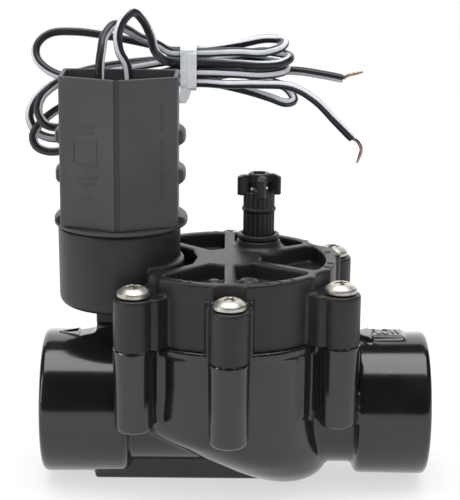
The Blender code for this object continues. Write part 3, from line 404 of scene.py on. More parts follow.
class Finishes:
    """All the finishes, each built once."""

    def __init__(self) -> None:
        """Build every material."""
        self.body = MouldedPlastic("gloss_black_moulding", (0.0045, 0.0045, 0.0048), 0.16, mottle=0.05,
                                   level=0.46, coat=0.35, grain=1100.0, grain_depth=0.000012,
                                   dust=0.2).material()
        self.bonnet = MouldedPlastic("satin_black_moulding", (0.007, 0.007, 0.0072), 0.44, level=0.42,
                                     grain=2600.0).material()
        self.shroud = MouldedPlastic("satin_grey_moulding", (0.026, 0.026, 0.0245), 0.47, level=0.40,
                                     grain=2200.0, dust=0.5).material()
        self.steel = TurnedMetal("stainless_steel", (0.66, 0.64, 0.59), (0.44, 0.42, 0.37), 0.46).material()
        self.copper = TurnedMetal("bare_copper", (0.62, 0.36, 0.24), (0.36, 0.20, 0.13), 0.36).material()
        self.tinned = TurnedMetal("tinned_copper", (0.40, 0.30, 0.25), (0.22, 0.15, 0.12), 0.36).material()
        self.nylon = Nylon("natural_nylon").material()
        self.rubber = MouldedRubber("moulded_rubber").material()
        self.lead = StripedVinyl("striped_vinyl").material()
        self.paper = StudioPaper("studio_paper", 0.61).material()
        self.backdrop = StudioPaper("backdrop_paper", 1.35).material()


# ---------------------------------------------------------------- modelling


def rounded(corners: Iterable[Corner], steps: int = 5) -> Outline:
    """Outline with rounded corners.

    Args:
        corners: (x, y) or (x, y, fillet) points in order.
        steps: straight runs in each fillet.

    Returns:
        The outline's points.
    """
    corners = list(corners)
    points: Outline = []
    for index, corner in enumerate(corners):
        here = Vector(corner[:2])
        fillet = corner[2] if len(corner) > 2 else 0.0
        if not fillet:
            points.append((here.x, here.y))
            continue
        back = (Vector(corners[index - 1][:2]) - here).normalized()
        ahead = (Vector(corners[(index + 1) % len(corners)][:2]) - here).normalized()
        half = back.angle(ahead) / 2
        reach = fillet / math.tan(half)
        centre = here + (back + ahead).normalized() * (fillet / math.sin(half))
        first, last = here + back * reach - centre, here + ahead * reach - centre
        turn = first.angle_signed(last)
        for step in range(steps + 1):
            spoke = Matrix.Rotation(-turn * step / steps, 2) @ first
            points.append((centre.x + spoke.x, centre.y + spoke.y))
    return points


def heading(degrees: float) -> Vector:
    """Unit vector in plan at an angle from +X."""
    return Vector((math.cos(math.radians(degrees)), math.sin(math.radians(degrees))))


def spoke_strip(spoke: Vector, inner: float, outer: float, width: float, fillet: float = 0.0) -> Outline:
    """Outline of a straight strip along a spoke from the origin, with its corners rounded."""
    start, end = spoke * inner, spoke * outer
    side = (end - start).normalized().orthogonal() * (width / 2)
    return rounded([(*point, fillet) for point in (start - side, end - side, end + side, start + side)])


class Bench:
    """Blender's modelling operators, one call for each step of the work."""

    @staticmethod
    def clear() -> None:
        """Leave edit mode and deselect everything."""
        if bpy.context.object and bpy.context.object.mode != "OBJECT":
            bpy.ops.object.mode_set(mode="OBJECT")
        bpy.ops.object.select_all(action="DESELECT")

    @classmethod
    def pick(cls, *pieces: Piece) -> None:
        """Select pieces only, with the first one active."""
        cls.clear()
        for piece in pieces:
            piece.select_set(True)
        bpy.context.view_layer.objects.active = pieces[0]

    @classmethod
    def settled(cls) -> Piece:
        """Bring the active piece's place, turn and scale into its mesh."""
        piece = bpy.context.object
        cls.pick(piece)
        bpy.ops.object.transform_apply(location=True, rotation=True, scale=True)
        return piece

    @classmethod
    def outward(cls, piece: Piece, merge: float = 0.002) -> Piece:
        """Merge a piece's doubles and turn its faces outwards."""
        cls.pick(piece)
        bpy.ops.object.mode_set(mode="EDIT")
        bpy.ops.mesh.select_all(action="SELECT")
        bpy.ops.mesh.remove_doubles(threshold=merge * MM)
        bpy.ops.mesh.normals_make_consistent(inside=False)
        bpy.ops.object.mode_set(mode="OBJECT")
        return piece

    @classmethod
    def shaded(cls, piece: Piece, angle: float) -> Piece:
        """Shade a piece smooth, except over edges that turn by more than an angle."""
        cls.pick(piece)
        bpy.ops.object.shade_smooth_by_angle(angle=angle)
        return piece

    @classmethod
    def rod(cls, radius: float, low: float, high: float, x: float = 0.0, y: float = 0.0,
            axis: Axis = Axis.UP, height: float = 0.0, sides: int = 96) -> Piece:
        """Add a cylinder.

        Args:
            radius: its radius.
            low, high: its ends along its axis.
            x, y: its axis in plan, where it stands up.
            axis: whether it stands up or lies along the flow.
            height: its axis's height, where it lies.
            sides: how many sides it has.

        Returns:
            The piece.
        """
        middle = (low + high) / 2
        place = (x, y, middle) if axis is Axis.UP else (middle, 0.0, height)
        cls.clear()
        bpy.ops.mesh.primitive_cylinder_add(vertices=sides, radius=radius * MM, depth=(high - low) * MM,
                                            location=Vector(place) * MM, rotation=(0.0, axis.value, 0.0))
        return cls.settled()

    @classmethod
    def block(cls, low: Point, high: Point) -> Piece:
        """Add a block between two corners."""
        cls.clear()
        size = Vector(high) - Vector(low)
        bpy.ops.mesh.primitive_cube_add(size=1.0, location=(Vector(high) + Vector(low)) / 2 * MM,
                                        scale=size * MM)
        return cls.settled()

    @classmethod
    def _chain(cls, points: Sequence[Point]) -> Piece:
        """Extrude one vertex along points, and stay in edit mode."""
        cls.clear()
        bpy.ops.mesh.primitive_plane_add(size=MM, location=(0.0, 0.0, 0.0))
        bpy.ops.object.mode_set(mode="EDIT")
        bpy.ops.mesh.select_all(action="SELECT")
        bpy.ops.mesh.merge(type="CENTER")
        bpy.ops.transform.translate(value=Vector(points[0]) * MM)
        for here, there in zip(points, points[1:]):
            move = (Vector(there) - Vector(here)) * MM
            bpy.ops.mesh.extrude_vertices_move(TRANSFORM_OT_translate={"value": move})
        bpy.ops.mesh.select_all(action="SELECT")
        return bpy.context.object

    @classmethod
    def prism(cls, outline: Sequence[tuple[float, float]], low: float, high: float) -> Piece:
        """Extrude a plan outline from a low to a high level."""
        points = [(x, y, low) for x, y in outline]
        piece = cls._chain([*points, points[0]])
        bpy.ops.mesh.remove_doubles(threshold=0.0005 * MM)
        bpy.ops.mesh.edge_face_add()
        bpy.ops.mesh.extrude_region_move(TRANSFORM_OT_translate={"value": (0.0, 0.0, (high - low) * MM)})
        bpy.ops.object.mode_set(mode="OBJECT")
        return cls.outward(piece, 0.0005)

    @classmethod
    def turned(cls, profile: Sequence[tuple[float, float]], x: float = 0.0, y: float = 0.0,
               steps: int = 96, closed: bool = False) -> Piece:
        """Spin a (radius, height) profile about an upright axis.

        Args:
            profile: the profile's points.
            x, y: the axis in plan.
            steps: how many sides the round has.
            closed: whether the profile comes back to its first point.

        Returns:
            The piece.
        """
        points = [(x + radius, y, height) for radius, height in profile]
        piece = cls._chain([*points, points[0]] if closed else points)
        bpy.ops.mesh.spin(steps=steps, angle=math.tau, center=(x * MM, y * MM, 0.0), axis=(0.0, 0.0, 1.0))
        bpy.ops.object.mode_set(mode="OBJECT")
        return cls.outward(piece, 0.0015)

    @classmethod
    def knob(cls, corners: Iterable[Corner], x: float = 0.0, y: float = 0.0, steps: int = 96,
             runs: int = 5) -> Piece:
        """Spin a profile whose corners are rounded with a number of straight runs."""
        return cls.turned(rounded(corners, runs), x, y, steps)

    @classmethod
    def lofted(cls, rings: Sequence[Ring], sides: int = 96) -> Piece:
        """Raise a shape through oval rings, by extruding and resizing its end face.

        Args:
            rings: (height, left, right, half width) of each ring, from the bottom.
            sides: how many sides the ovals have.

        Returns:
            The closed piece.
        """
        height, left, right, half = rings[0]
        cls.clear()
        bpy.ops.mesh.primitive_circle_add(vertices=sides, radius=MM, fill_type="NGON",
                                          location=((left + right) / 2 * MM, 0.0, height * MM))
        bpy.ops.object.mode_set(mode="EDIT")
        bpy.ops.mesh.select_all(action="SELECT")
        bpy.ops.transform.resize(value=((right - left) / 2, half, 1.0),
                                 center_override=((left + right) / 2 * MM, 0.0, height * MM))
        for before, after in zip(rings, rings[1:]):
            shift = ((after[1] + after[2]) / 2 - (before[1] + before[2]) / 2) * MM
            bpy.ops.mesh.extrude_region_move(
                TRANSFORM_OT_translate={"value": (shift, 0.0, (after[0] - before[0]) * MM)})
            bpy.ops.transform.resize(
                value=((after[2] - after[1]) / (before[2] - before[1]), after[3] / before[3], 1.0),
                center_override=((after[1] + after[2]) / 2 * MM, 0.0, after[0] * MM))
        bpy.ops.object.mode_set(mode="OBJECT")
        piece = cls.settled()
        return cls.outward(piece)

    @classmethod
    def join(cls, base: Piece, how: Join, *tools: Piece) -> Piece:
        """Act with tools on a base, one by one, and remove them."""
        for tool in tools:
            cls.pick(base)
            change = base.modifiers.new(how.name, "BOOLEAN")
            change.operation = how.value
            change.solver = "MANIFOLD"
            change.object = tool
            bpy.ops.object.modifier_apply(modifier=change.name)
            bpy.data.objects.remove(tool, do_unlink=True)
        return base

    @classmethod
    def add(cls, base: Piece, *tools: Piece) -> Piece:
        """Add tools to a base."""
        return cls.join(base, Join.ADD, *tools)

    @classmethod
    def cut(cls, base: Piece, *tools: Piece) -> Piece:
        """Cut tools out of a base."""
        return cls.join(base, Join.CUT, *tools)

    @classmethod
    def mould(cls, piece: Piece, grain: float, passes: int = 3,
              factor: float = 0.5) -> Piece:
        """Ease every edge as a moulding's are, by an even remesh that is then relaxed.

        Args:
            piece: the sharp piece.
            grain: the remesh's step.
            passes: how often the skin is relaxed.
            factor: how far each pass goes.

        Returns:
            The eased piece.
        """
        cls.pick(piece)
        skin = piece.modifiers.new("skin", "REMESH")
        skin.mode = "VOXEL"
        skin.voxel_size = grain * MM
        skin.use_smooth_shade = True
        bpy.ops.object.modifier_apply(modifier=skin.name)
        ease = piece.modifiers.new("ease", "SMOOTH")
        ease.iterations = passes
        ease.factor = factor
        bpy.ops.object.modifier_apply(modifier=ease.name)
        bpy.ops.object.shade_smooth()
        return piece

    @classmethod
    def levelled(cls, piece: Piece, low: float) -> Piece:
        """Cut a moulding flat at a level, so that its lower edge is crisp."""
        cls.cut(piece, cls.block((-90.0, -90.0, low - 9.0), (90.0, 90.0, low)))
        return cls.shaded(piece, SMOOTH_MOULDED)

    @classmethod
    def eased(cls, piece: Piece, width: float = 0.25, segments: int = 2,
              angle: float = 38.0) -> Piece:
        """Bevel a piece's sharp edges and shade it smooth between them."""
        cls.pick(piece)
        edge = piece.modifiers.new("edge", "BEVEL")
        edge.width = width * MM
        edge.segments = segments
        edge.limit_method = "ANGLE"
        edge.angle_limit = math.radians(angle)
        bpy.ops.object.modifier_apply(modifier=edge.name)
        return cls.shaded(piece, SMOOTH_TURNED)

    @classmethod
    def merged(cls, *pieces: Piece) -> Piece:
        """Gather loose pieces in one object."""
        cls.pick(*pieces)
        bpy.ops.object.join()
        return bpy.context.object

    @classmethod
    def copied(cls, piece: Piece, shift: Point, turn: float = 0.0,
               about: Point = (0.0, 0.0, 0.0)) -> Piece:
        """Copy a piece with its own mesh, turned about an upright line and moved."""
        copy = piece.copy()
        copy.data = piece.data.copy()
        bpy.context.scene.collection.objects.link(copy)
        pivot = Matrix.Translation(Vector(about) * MM)
        copy.data.transform(Matrix.Translation(Vector(shift) * MM) @ pivot
                            @ Matrix.Rotation(turn, 4, "Z") @ pivot.inverted())
        return copy


def hand_in(piece: Piece, name: str, material: Material, body: Body,
            stands_for: Sequence[str] = ()) -> Piece:
    """Name, dress and mount a finished piece.

    Args:
        piece: the piece.
        name: its name.
        material: its only material.
        body: the body it rides on.
        stands_for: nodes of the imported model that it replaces.

    Returns:
        The piece.
    """
    piece.name = name
    piece.data.name = name
    piece.data.materials.clear()
    piece.data.materials.append(material)
    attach(piece, body.value)
    if stands_for:
        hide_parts(*stands_for)
    LOG.info("%s rides on %s, %d faces", name, body.value, len(piece.data.polygons))
    return piece


def dress_nodes(nodes: dict[str, Piece], names: Iterable[str],
                material: Material) -> None:
    """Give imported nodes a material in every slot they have."""
    for name in names:
        mesh = nodes[name].data
        if not mesh.materials:
            mesh.materials.append(material)
        for index in range(len(mesh.materials)):
            mesh.materials[index] = material
        LOG.info("%s dressed in %s", name, material.name)


# ---------------------------------------------------------------- leads


def smooth_line(knots: Sequence[Point], spacing: float) -> list[Vector]:
    """Points at an even spacing on a centripetal Catmull-Rom curve through knots.

    Args:
        knots: the points it passes through.
        spacing: distance between the points that come back.

    Returns:
        The points, the ends included.
    """
    line = [Vector(knot) for knot in knots]
    line = [2 * line[0] - line[1], *line, 2 * line[-1] - line[-2]]
    fine: list[Vector] = []
    for before, start, end, after in zip(line, line[1:], line[2:], line[3:]):
        times = [0.0]
        for here, there in ((before, start), (start, end), (end, after)):
            times.append(times[-1] + math.sqrt((there - here).length))
        for step in range(12):
            now = times[1] + (times[2] - times[1]) * step / 12
            lows = [here.lerp(there, (now - times[index]) / (times[index + 1] - times[index]))
                    for index, (here, there) in enumerate(((before, start), (start, end), (end, after)))]
            mids = [here.lerp(there, (now - times[index]) / (times[index + 2] - times[index]))
                    for index, (here, there) in enumerate(((lows[0], lows[1]), (lows[1], lows[2])))]
            fine.append(mids[0].lerp(mids[1], (now - times[1]) / (times[2] - times[1])))
    fine.append(line[-2])
    reach = [0.0]
    for here, there in zip(fine, fine[1:]):
        reach.append(reach[-1] + (there - here).length)
    count = max(2, round(reach[-1] / spacing))
    even: list[Vector] = []
    index = 0
    for step in range(count + 1):
        target = reach[-1] * step / count
        while index < len(fine) - 2 and reach[index + 1] < target:
            index += 1
        share = (target - reach[index]) / (reach[index + 1] - reach[index])
        even.append(fine[index].lerp(fine[index + 1], share))
    return even


def through_tie(y: float, z: float, way: float = 1.0) -> tuple[Point, ...]:
    """Knots of one pass through the tie, towards the inlet or, with way -1, away from it."""
    return tuple((TIE_X + way * step, y, z) for step in (-TIE_STRAIGHT, 0.0, TIE_STRAIGHT))


@dataclass
class Lead:
    """One lead: its route, its length and how far its stripe lies from STRIPE_FACES."""

    number: int
    route: tuple[Point, ...]
    bare: tuple[Point, ...]
    length: float
    exit: Point
    stripe_offset: float
    radius: float = 1.3
    sides: int = 20
    stripe_waver: float = 0.5
    waver_length: float = 23.0
    twist_pitch: float = 9.0
    strand_groove: float = 0.16
    line_step: float = 1.1
    core_step: float = 0.22
    core_radius: float = 0.52

    def tube(self, line: Sequence[Vector], radii: Sequence[float], lobes: int = 0) -> Piece:
        """Skin a round tube on a line, with its stripe marked in an attribute.

        Args:
            line: the centreline.
            radii: the radius at each of its points.
            lobes: strands that show on the surface, or 0 for a plain round.

        Returns:
            The tube, closed at both ends.
        """
        verts: list[Vector] = []
        marks: list[float] = []
        sideways = Vector((0.0, 1.0, 0.0))
        travelled = 0.0
        for index, point in enumerate(line):
            ahead = (line[min(index + 1, len(line) - 1)] - line[max(index - 1, 0)]).normalized()
            sideways = (sideways - ahead * sideways.dot(ahead)).normalized()
            upwards = ahead.cross(sideways)
            if index:
                travelled += (point - line[index - 1]).length
            phase = math.atan2(STRIPE_FACES.dot(upwards), STRIPE_FACES.dot(sideways))
            waver = self.stripe_waver * math.sin(travelled / self.waver_length + self.number)
            phase += self.stripe_offset + waver
            for side in range(self.sides):
                angle = math.tau * side / self.sides
                spin = angle - math.tau * travelled / self.twist_pitch
                groove = self.strand_groove * (1 - abs(math.cos(lobes * spin / 2))) if lobes else 0.0
                spoke = sideways * math.cos(angle) + upwards * math.sin(angle)
                verts.append((point + spoke * radii[index] * (1.0 - groove)) * MM)
                marks.append(math.cos(angle - phase))
        faces: list[tuple[int, ...]] = []
        for ring in range(len(line) - 1):
            for side in range(self.sides):
                here, there = ring * self.sides + side, ring * self.sides + (side + 1) % self.sides
                faces.append((here, there, there + self.sides, here + self.sides))
        last = (len(line) - 1) * self.sides
        faces.append(tuple(reversed(range(self.sides))))
        faces.append(tuple(range(last, last + self.sides)))
        mesh = bpy.data.meshes.new(f"lead_{self.number}")
        mesh.from_pydata(verts, [], faces)
        stripe = mesh.attributes.new("stripe", "FLOAT", "POINT")
        stripe.data.foreach_set("value", marks)
        piece = bpy.data.objects.new(mesh.name, mesh)
        bpy.context.scene.collection.objects.link(piece)
        return Bench.shaded(Bench.outward(piece), SMOOTH_MOULDED)

    def build(self, finishes: Finishes, extras: Sequence[Piece]) -> None:
        """Args:
            finishes: the finishes.
            extras: other pieces that lie on this lead; not used.
        """
        line = smooth_line(self.route, self.line_step)
        radii = [self.radius] * len(line)
        radii[0], radii[-1] = self.radius * 0.9, self.radius * 0.9
        lead = hand_in(self.tube(line, radii), f"insulated_lead_{self.number}", finishes.lead,
                       Body.SOLENOID, [f"lead_wire_{self.number}"])
        core = smooth_line(self.bare, self.core_step)
        count = len(core)
        thickness = [self.core_radius * min(1.0, 0.55 + 1.6 * (count - 1 - index) / count)
                     for index in range(count)]
        strands = hand_in(self.tube(core, thickness, 7), f"bare_strands_{self.number}", finishes.tinned,
                          Body.SOLENOID, [f"lead_conductor_{self.number}"])
        tuple(value * MM for value in self.exit)
        2 * self.radius * MM
        [tuple(point * MM) for point in line]


@dataclass
class LeadPair:
    """Both leads and the tie that gathers them beside the solenoid."""

    first: tuple[Point, ...] = (
        (-36.5, -3, 104), (-36.5, -3, 112.5), (-36.5, -2.5, 120.5), (-36, -0.5, 125), (-35.5, 2, 128),
        (-33, 5.5, 131), (-29.5, 10.5, 129), (-26, 16, 126), (-21.5, 20.5, 123.5), *through_tie(23, 121),
        (2, 21.5, 121.5), (9, 20, 121.5), (13.5, 21, 122.5), (15.5, 25, 123.5), (14.5, 29.5, 124),
        (10, 31.5, 124), (2.5, 31, 122.5), *through_tie(29, 121, -1), (-24.5, 29.5, 122.5),
        (-32, 29.5, 124), (-45.5, 29, 126), (-53.5, 28, 125.5), (-57, 26, 122.5), (-57, 24, 119),
        (-54, 22, 116), (-49, 20.5, 114), (-40, 20, 113), (-29.5, 20.5, 113.5), *through_tie(23, 115),
        (2, 21.5, 115), (8, 20, 115), (13, 20, 115.5), (16, 23.5, 116), (15, 28.5, 117), (9.5, 31, 117.5),
        (1, 30.5, 118), *through_tie(29, 118, -1), (-24, 29.5, 117.5), (-36, 29.5, 116),
        (-46.5, 29.5, 113.5), (-54, 29.5, 109.5), (-58.5, 29.5, 105), (-60, 29, 100.5), (-58, 29, 96),
        (-53, 29, 94), (-42, 29.5, 96), (-30, 29.5, 102.5), (-21.5, 29.5, 108.5), *through_tie(29, 112),
        (-2, 30, 113.5), (8.5, 29.5, 114.5), (19, 28.5, 115), (27.5, 27.5, 114), (33, 27, 113),
    )
    second: tuple[Point, ...] = (
        (-28.5, -1, 104), (-28.5, -1, 112.5), (-29, -1.5, 120.5), (-31, -1.5, 124.5), (-31.5, -1, 129),
        (-30, 0, 133), (-27.5, 2.5, 135), (-25, 6, 132.5), (-23, 10.5, 127.5), (-22, 15, 122.5),
        (-20, 19.5, 119.5), *through_tie(23, 118), (2, 21, 118), (9, 19, 118), (14, 19, 118.5),
        (17, 22.5, 119.5), (16, 27.5, 120), (10, 29.5, 120.5), (1, 28, 119.5), *through_tie(26, 118, -1),
        (-24, 26, 117), (-37, 25.5, 115), (-47, 25, 113.5), (-51.5, 24, 111), (-55.5, 22.5, 107.5),
        (-56.5, 21.5, 103.5), (-54.5, 22, 99.5), (-50.5, 23, 98.5), (-40, 25.5, 100.5), (-30, 26.5, 105),
        (-21, 26.5, 110), *through_tie(26, 112), (-2, 25.5, 111), (5.5, 24, 109.5), (11.5, 22, 108),
        (16, 22, 106.5), (18.5, 24.5, 107), (16.5, 27, 110), (10, 27, 112.5), (2, 26.5, 114.5),
        *through_tie(26, 115, -1), (-24, 26, 113), (-35.5, 26, 109.5), (-46, 25.5, 106),
        (-52.5, 25.5, 102.5), (-56.5, 25, 99), (-58.5, 24.5, 95.5), (-57.5, 24, 92.5), (-54, 24, 91),
        (-47.5, 23.5, 92), (-37, 23, 97), (-26.5, 23, 104.5), (-20, 23, 109), *through_tie(23, 112),
        (-2, 21, 112), (8, 18.5, 112.5), (17.5, 17.5, 112), (24.5, 18, 108), (30.5, 17.5, 102),
        (35.5, 17, 97),
    )
    first_bare: tuple[Point, ...] = (
        (33.0, 27, 113.0), (34.4, 27, 114), (36.7, 27, 114.6), (38.8, 27, 115.1))
    second_bare: tuple[Point, ...] = (
        (35.4, 17, 97.1), (36.8, 17, 96.4), (38.1, 17, 94), (37, 17, 89.8))
    tie_centre: Point = (TIE_X, 26.0, 116.5)
    exit_level: float = 112.5
    tie_width: float = 4.8
    tie_half_y: float = 5.3
    tie_half_z: float = 6.8
    tie_sheet: float = 0.55
    tail_bend: float = 0.055
    crumple: float = 0.12

    def tie(self, finishes: Finishes) -> Piece:
        """Wrap the tie round the bundle, pinched at the front, with its tail hanging down."""
        x, y, z = self.tie_centre
        half_y, half_z, sheet = self.tie_half_y, self.tie_half_z, self.tie_sheet

        def loop(inset: float, fillet: float, reach: float) -> Piece:
            """Block as wide and high as the tie, less an inset, and with round corners."""
            signs = ((-1, -1), (1, -1), (1, 1), (-1, 1))
            corners = [(y + across * (half_y - inset), z + up * (half_z - inset), fillet)
                       for across, up in signs]
            return Bench.prism([(-py, pz) for py, pz in rounded(corners, 7)], x - reach, x + reach)

        band = Bench.cut(loop(0.0, 2.6, self.tie_width / 2), loop(sheet, 2.1, self.tie_width))
        stand = Matrix(((0, 0, 1, 0), (-1, 0, 0, 0), (0, 1, 0, 0), (0, 0, 0, 1)))
        band.data.transform(stand)
        Bench.outward(band)
        front, foot = y - half_y, z - half_z
        fold = [Bench.block((x - 1.9, front - 0.15, z - 5.2), (x + 1.6, front + 0.25, z + 5.6)),
                Bench.block((x - 0.4, front - 0.3, z - 5.8), (x + 2.1, front + 0.1, z + 4.4))]
        tail = Bench.block((x - 2.2, front, foot - 3.4), (x + 1.0, front + 0.5, foot + 2.8))
        Bench.pick(tail)
        bpy.ops.object.mode_set(mode="EDIT")
        bpy.ops.mesh.select_all(action="SELECT")
        bpy.ops.mesh.subdivide(number_cuts=6)
        bpy.ops.object.mode_set(mode="OBJECT")
        for vert in tail.data.vertices:
            drop = max(0.0, (foot + 2.0) * MM - vert.co.z) / MM
            vert.co.x -= self.tail_bend * drop * drop * MM
        crumpled = Bench.add(band, *fold, tail)
        for vert in crumpled.data.vertices:
            along = (vert.co.x / MM - x) / self.tie_width
            vert.co.y += self.crumple * math.sin(vert.co.z / MM * 1.3) * math.cos(along * 5.0) * MM
        Bench.mould(crumpled, 0.2, 2)
        return hand_in(crumpled, "lead_tie", finishes.nylon, Body.SOLENOID, ["wire_tie"])

    def build(self, finishes: Finishes) -> None:
        """Make the tie, then each lead."""
        tie = self.tie(finishes)
        exits = [(x, y, self.exit_level) for x, y in LEAD_EXITS]
        Lead(1, self.first, self.first_bare, 445.0, exits[0], 0.7).build(finishes, [tie])
        Lead(2, self.second, self.second_bare, 465.0, exits[1], -0.7).build(finishes, [])


# ---------------------------------------------------------------- lower body


@dataclass
class LowerBody:
    """The glossy lower moulding with its sockets, keel and bolt bosses."""

    flow: float = 22.0
    parting: float = 46.5
    outlet: float = 53.6
    inlet: float = 57.4
    socket: float = 20.75
    bore: float = 16.8
    depth: float = 19.0
    neck: float = 17.4
    passage: float = 11.5
    chamber: float = 30.0
    seat_bore: float = 11.0
    wall: float = 3.6
    flange: float = 31.8
    plate_top: float = 43.4
    belly: float = 0.35
    belly_rings: int = 6
    bolt_circle: float = 36.6
    bolt_angles: tuple[float, ...] = (-90.0, -33.1, 33.1, 90.0, 135.8, -135.8)
    fin_angles: tuple[float, ...] = (-129.0, -47.5, 47.5, 129.0)
    rings: tuple[Ring, ...] = (
        (0.0, 11.0, 22.5, 6.5), (1.3, 6.5, 26.0, 11.5), (4.2, 0.0, 28.8, 17.0), (8.7, -8.8, 29.8, 22.8),
        (14.3, -19.4, 30.0, 27.6), (20.9, -30.0, 30.0, 30.0), (35.0, -30.0, 30.0, 30.0),
        (46.8, -30.0, 30.0, 30.0))

    def bolts(self) -> list[tuple[Vector, Vector]]:
        """Centre and outward direction of each bolt boss in plan."""
        spokes = [heading(angle) for angle in self.bolt_angles]
        return [(spoke * self.bolt_circle, spoke) for spoke in spokes]

    def bolt_holes(self, low: float, high: float) -> list[Piece]:
        """A cutter for each bolt's hole, between two levels."""
        return [Bench.rod(SCREW_HOLE, low, high, *centre, sides=24) for centre, _ in self.bolts()]

    def socket_blank(self, reach: float, side: float, start: float, long: float,
                     shoulder: float) -> Piece:
        """Turn one socket with its neck and lay it along the flow.

        Args:
            reach: distance from the origin to the socket's face.
            side: 1 for the inlet, -1 for the outlet.
            start: where the neck starts.
            long: length of the socket's full round.
            shoulder: radius of its shoulder.

        Returns:
            The blank.
        """
        inner = reach - long
        blank = Bench.knob([(0.0, start), (self.neck, start), (self.neck, inner - 1.0, 0.8),
                            (self.socket - 0.25, inner, shoulder), (self.socket, reach, 1.7),
                            (0.0, reach)], steps=128, runs=6)
        turn = Matrix.Translation((0, 0, self.flow * MM)) @ Matrix.Rotation(side * math.pi / 2, 4, "Y")
        blank.data.transform(turn)
        return Bench.outward(blank)

    def chamber_blank(self, inset: float = 0.0, floor: float = -1.0, top: float = 0.3) -> Piece:
        """Raise the chamber, or its cavity, through its rings on a smooth curve."""
        line = smooth_line([(height, left, right) for height, left, right, _ in self.rings], 1.2)
        levels = [ring[0] for ring in self.rings]
        smooth: list[Ring] = []
        for point in line:
            above = next((i for i, level in enumerate(levels) if level >= point.x), 1)
            index = max(1, min(len(levels) - 1, above))
            low, high = self.rings[index - 1], self.rings[index]
            share = max(0.0, min(1.0, (point.x - low[0]) / (high[0] - low[0])))
            belly = self.belly * math.sin(math.pi * share) if index < self.belly_rings else 0.0
            half = low[3] + (high[3] - low[3]) * share + belly
            if point.x > floor:
                smooth.append((point.x, point.y + inset, point.z - inset, half - inset))
        height, left, right, half = smooth[-1]
        smooth[-1] = (self.parting + top, left, right, half)
        if floor > 0.0:
            smooth[0] = (floor, *smooth[0][1:])
        return Bench.lofted(smooth)

    def outside(self) -> Piece:
        """Join everything that makes the outside."""
        blank = Bench.add(self.chamber_blank(), self.socket_blank(self.outlet, -1.0, -6.0, 24.6, 2.6),
                          self.socket_blank(self.inlet, 1.0, 10.0, 20.6, 1.7))
        keel_outline = rounded([(-38.9, -6.6, 1.2), (13.0, -6.6), (13.0, 6.6), (-38.9, 6.6, 1.2)])
        keel = Bench.prism(keel_outline, 0.0, 7.0)
        top = self.parting + 0.6
        ledge = Bench.rod(self.flange, self.parting - 2.6, top, sides=128)
        Bench.add(blank, keel, ledge)
        for angle in self.fin_angles:
            fin = spoke_strip(heading(angle), self.chamber - 3.0, self.chamber + 1.1, 1.5)
            Bench.add(blank, Bench.prism(fin, 25.4, self.parting - 1.0))
        boss_profile = [(0.0, 22.4), (5.5, 22.4, 1.6), (5.8, top + 0.6), (0.0, top + 0.6)]
        for centre, spoke in self.bolts():
            rib = spoke_strip(spoke, self.chamber - 2.0, self.bolt_circle, 7.2)
            Bench.add(blank, Bench.prism(rib, 24.0, top + 0.3),
                      Bench.knob(boss_profile, *centre, steps=48))
        stub = Bench.block((-38.2, -2.7, self.flow), (-28.0, 2.7, top + 0.9))
        wedge = Bench.block((-43.4, -3.5, 38.0), (-33.0, 3.5, 44.4))
        for vert in wedge.data.vertices:
            if vert.co.x < -43.0 * MM and vert.co.z > 43.0 * MM:
                vert.co.z = 42.5 * MM
        point, barb, tail = 34.6, 41.0, 50.4
        plate = Bench.prism([(point, 0.0), (barb, -5.8), (barb, -3.5), (tail, -3.5), (tail, 3.5),
                             (barb, 3.5), (barb, 5.8)], 38.0, self.plate_top)
        Bench.add(blank, stub, wedge, plate)
        trim = Bench.block((-70.0, -70.0, self.parting), (70.0, 70.0, self.parting + 5.0))
        return Bench.cut(blank, trim)

    def cavity(self) -> Piece:
        """Shape of the room inside the chamber, round the seat tube and the outlet duct."""
        tube = 13.4
        room = self.chamber_blank(self.wall, 4.0, 1.0)
        return Bench.cut(room, Bench.rod(tube, 0.0, 41.0, sides=64),
                         Bench.rod(13.9, -32.0, 1.0, axis=Axis.FLOW, height=self.flow, sides=64),
                         Bench.block((-31.0, -tube, 0.0), (-1.0, tube, self.flow)))

    def shell(self) -> Piece:
        """Cut the rooms and bores, then ease the edges."""
        shell = Bench.cut(self.outside(), self.cavity(),
                          Bench.rod(self.seat_bore, self.flow, 42.0, sides=64))
        level = {"axis": Axis.FLOW, "height": self.flow}
        Bench.cut(shell, Bench.rod(self.passage, -self.outlet + 18.0, 10.0, sides=64, **level),
                  Bench.rod(self.passage, 15.4, self.inlet - 18.0, sides=64, **level),
                  Bench.rod(self.bore, -self.outlet - 1.0, -self.outlet + self.depth, sides=128, **level),
                  Bench.rod(self.bore, self.inlet - self.depth, self.inlet + 1.0, sides=128, **level),
                  Bench.rod(27.5, 44.9, self.parting + 1.0, sides=96),
                  Bench.rod(EXHAUST_HOLE, 27.0, self.parting + 1.0, EXHAUST_X, sides=16),
                  Bench.rod(2.1, self.parting - 1.0, self.parting + 1.5, EXHAUST_X, sides=24),
                  *self.bolt_holes(32.4, self.parting + 1.0))
        return Bench.mould(shell, 0.56, 3)

    def outlet_point(self) -> Piece:
        """Raised outline of an arrow's point on top of the outlet's socket."""
        tip, base, half, rim = -49.2, -43.3, 3.5, 0.42
        outer = [(tip, 0.0), (base, -half), (base, half)]
        inner = [(tip + 2.2 * rim, 0.0), (base - rim, -half + 1.9 * rim), (base - rim, half - 1.9 * rim)]
        return Bench.cut(Bench.prism(outer, 41.6, 42.98), Bench.prism(inner, 41.0, 44.0))

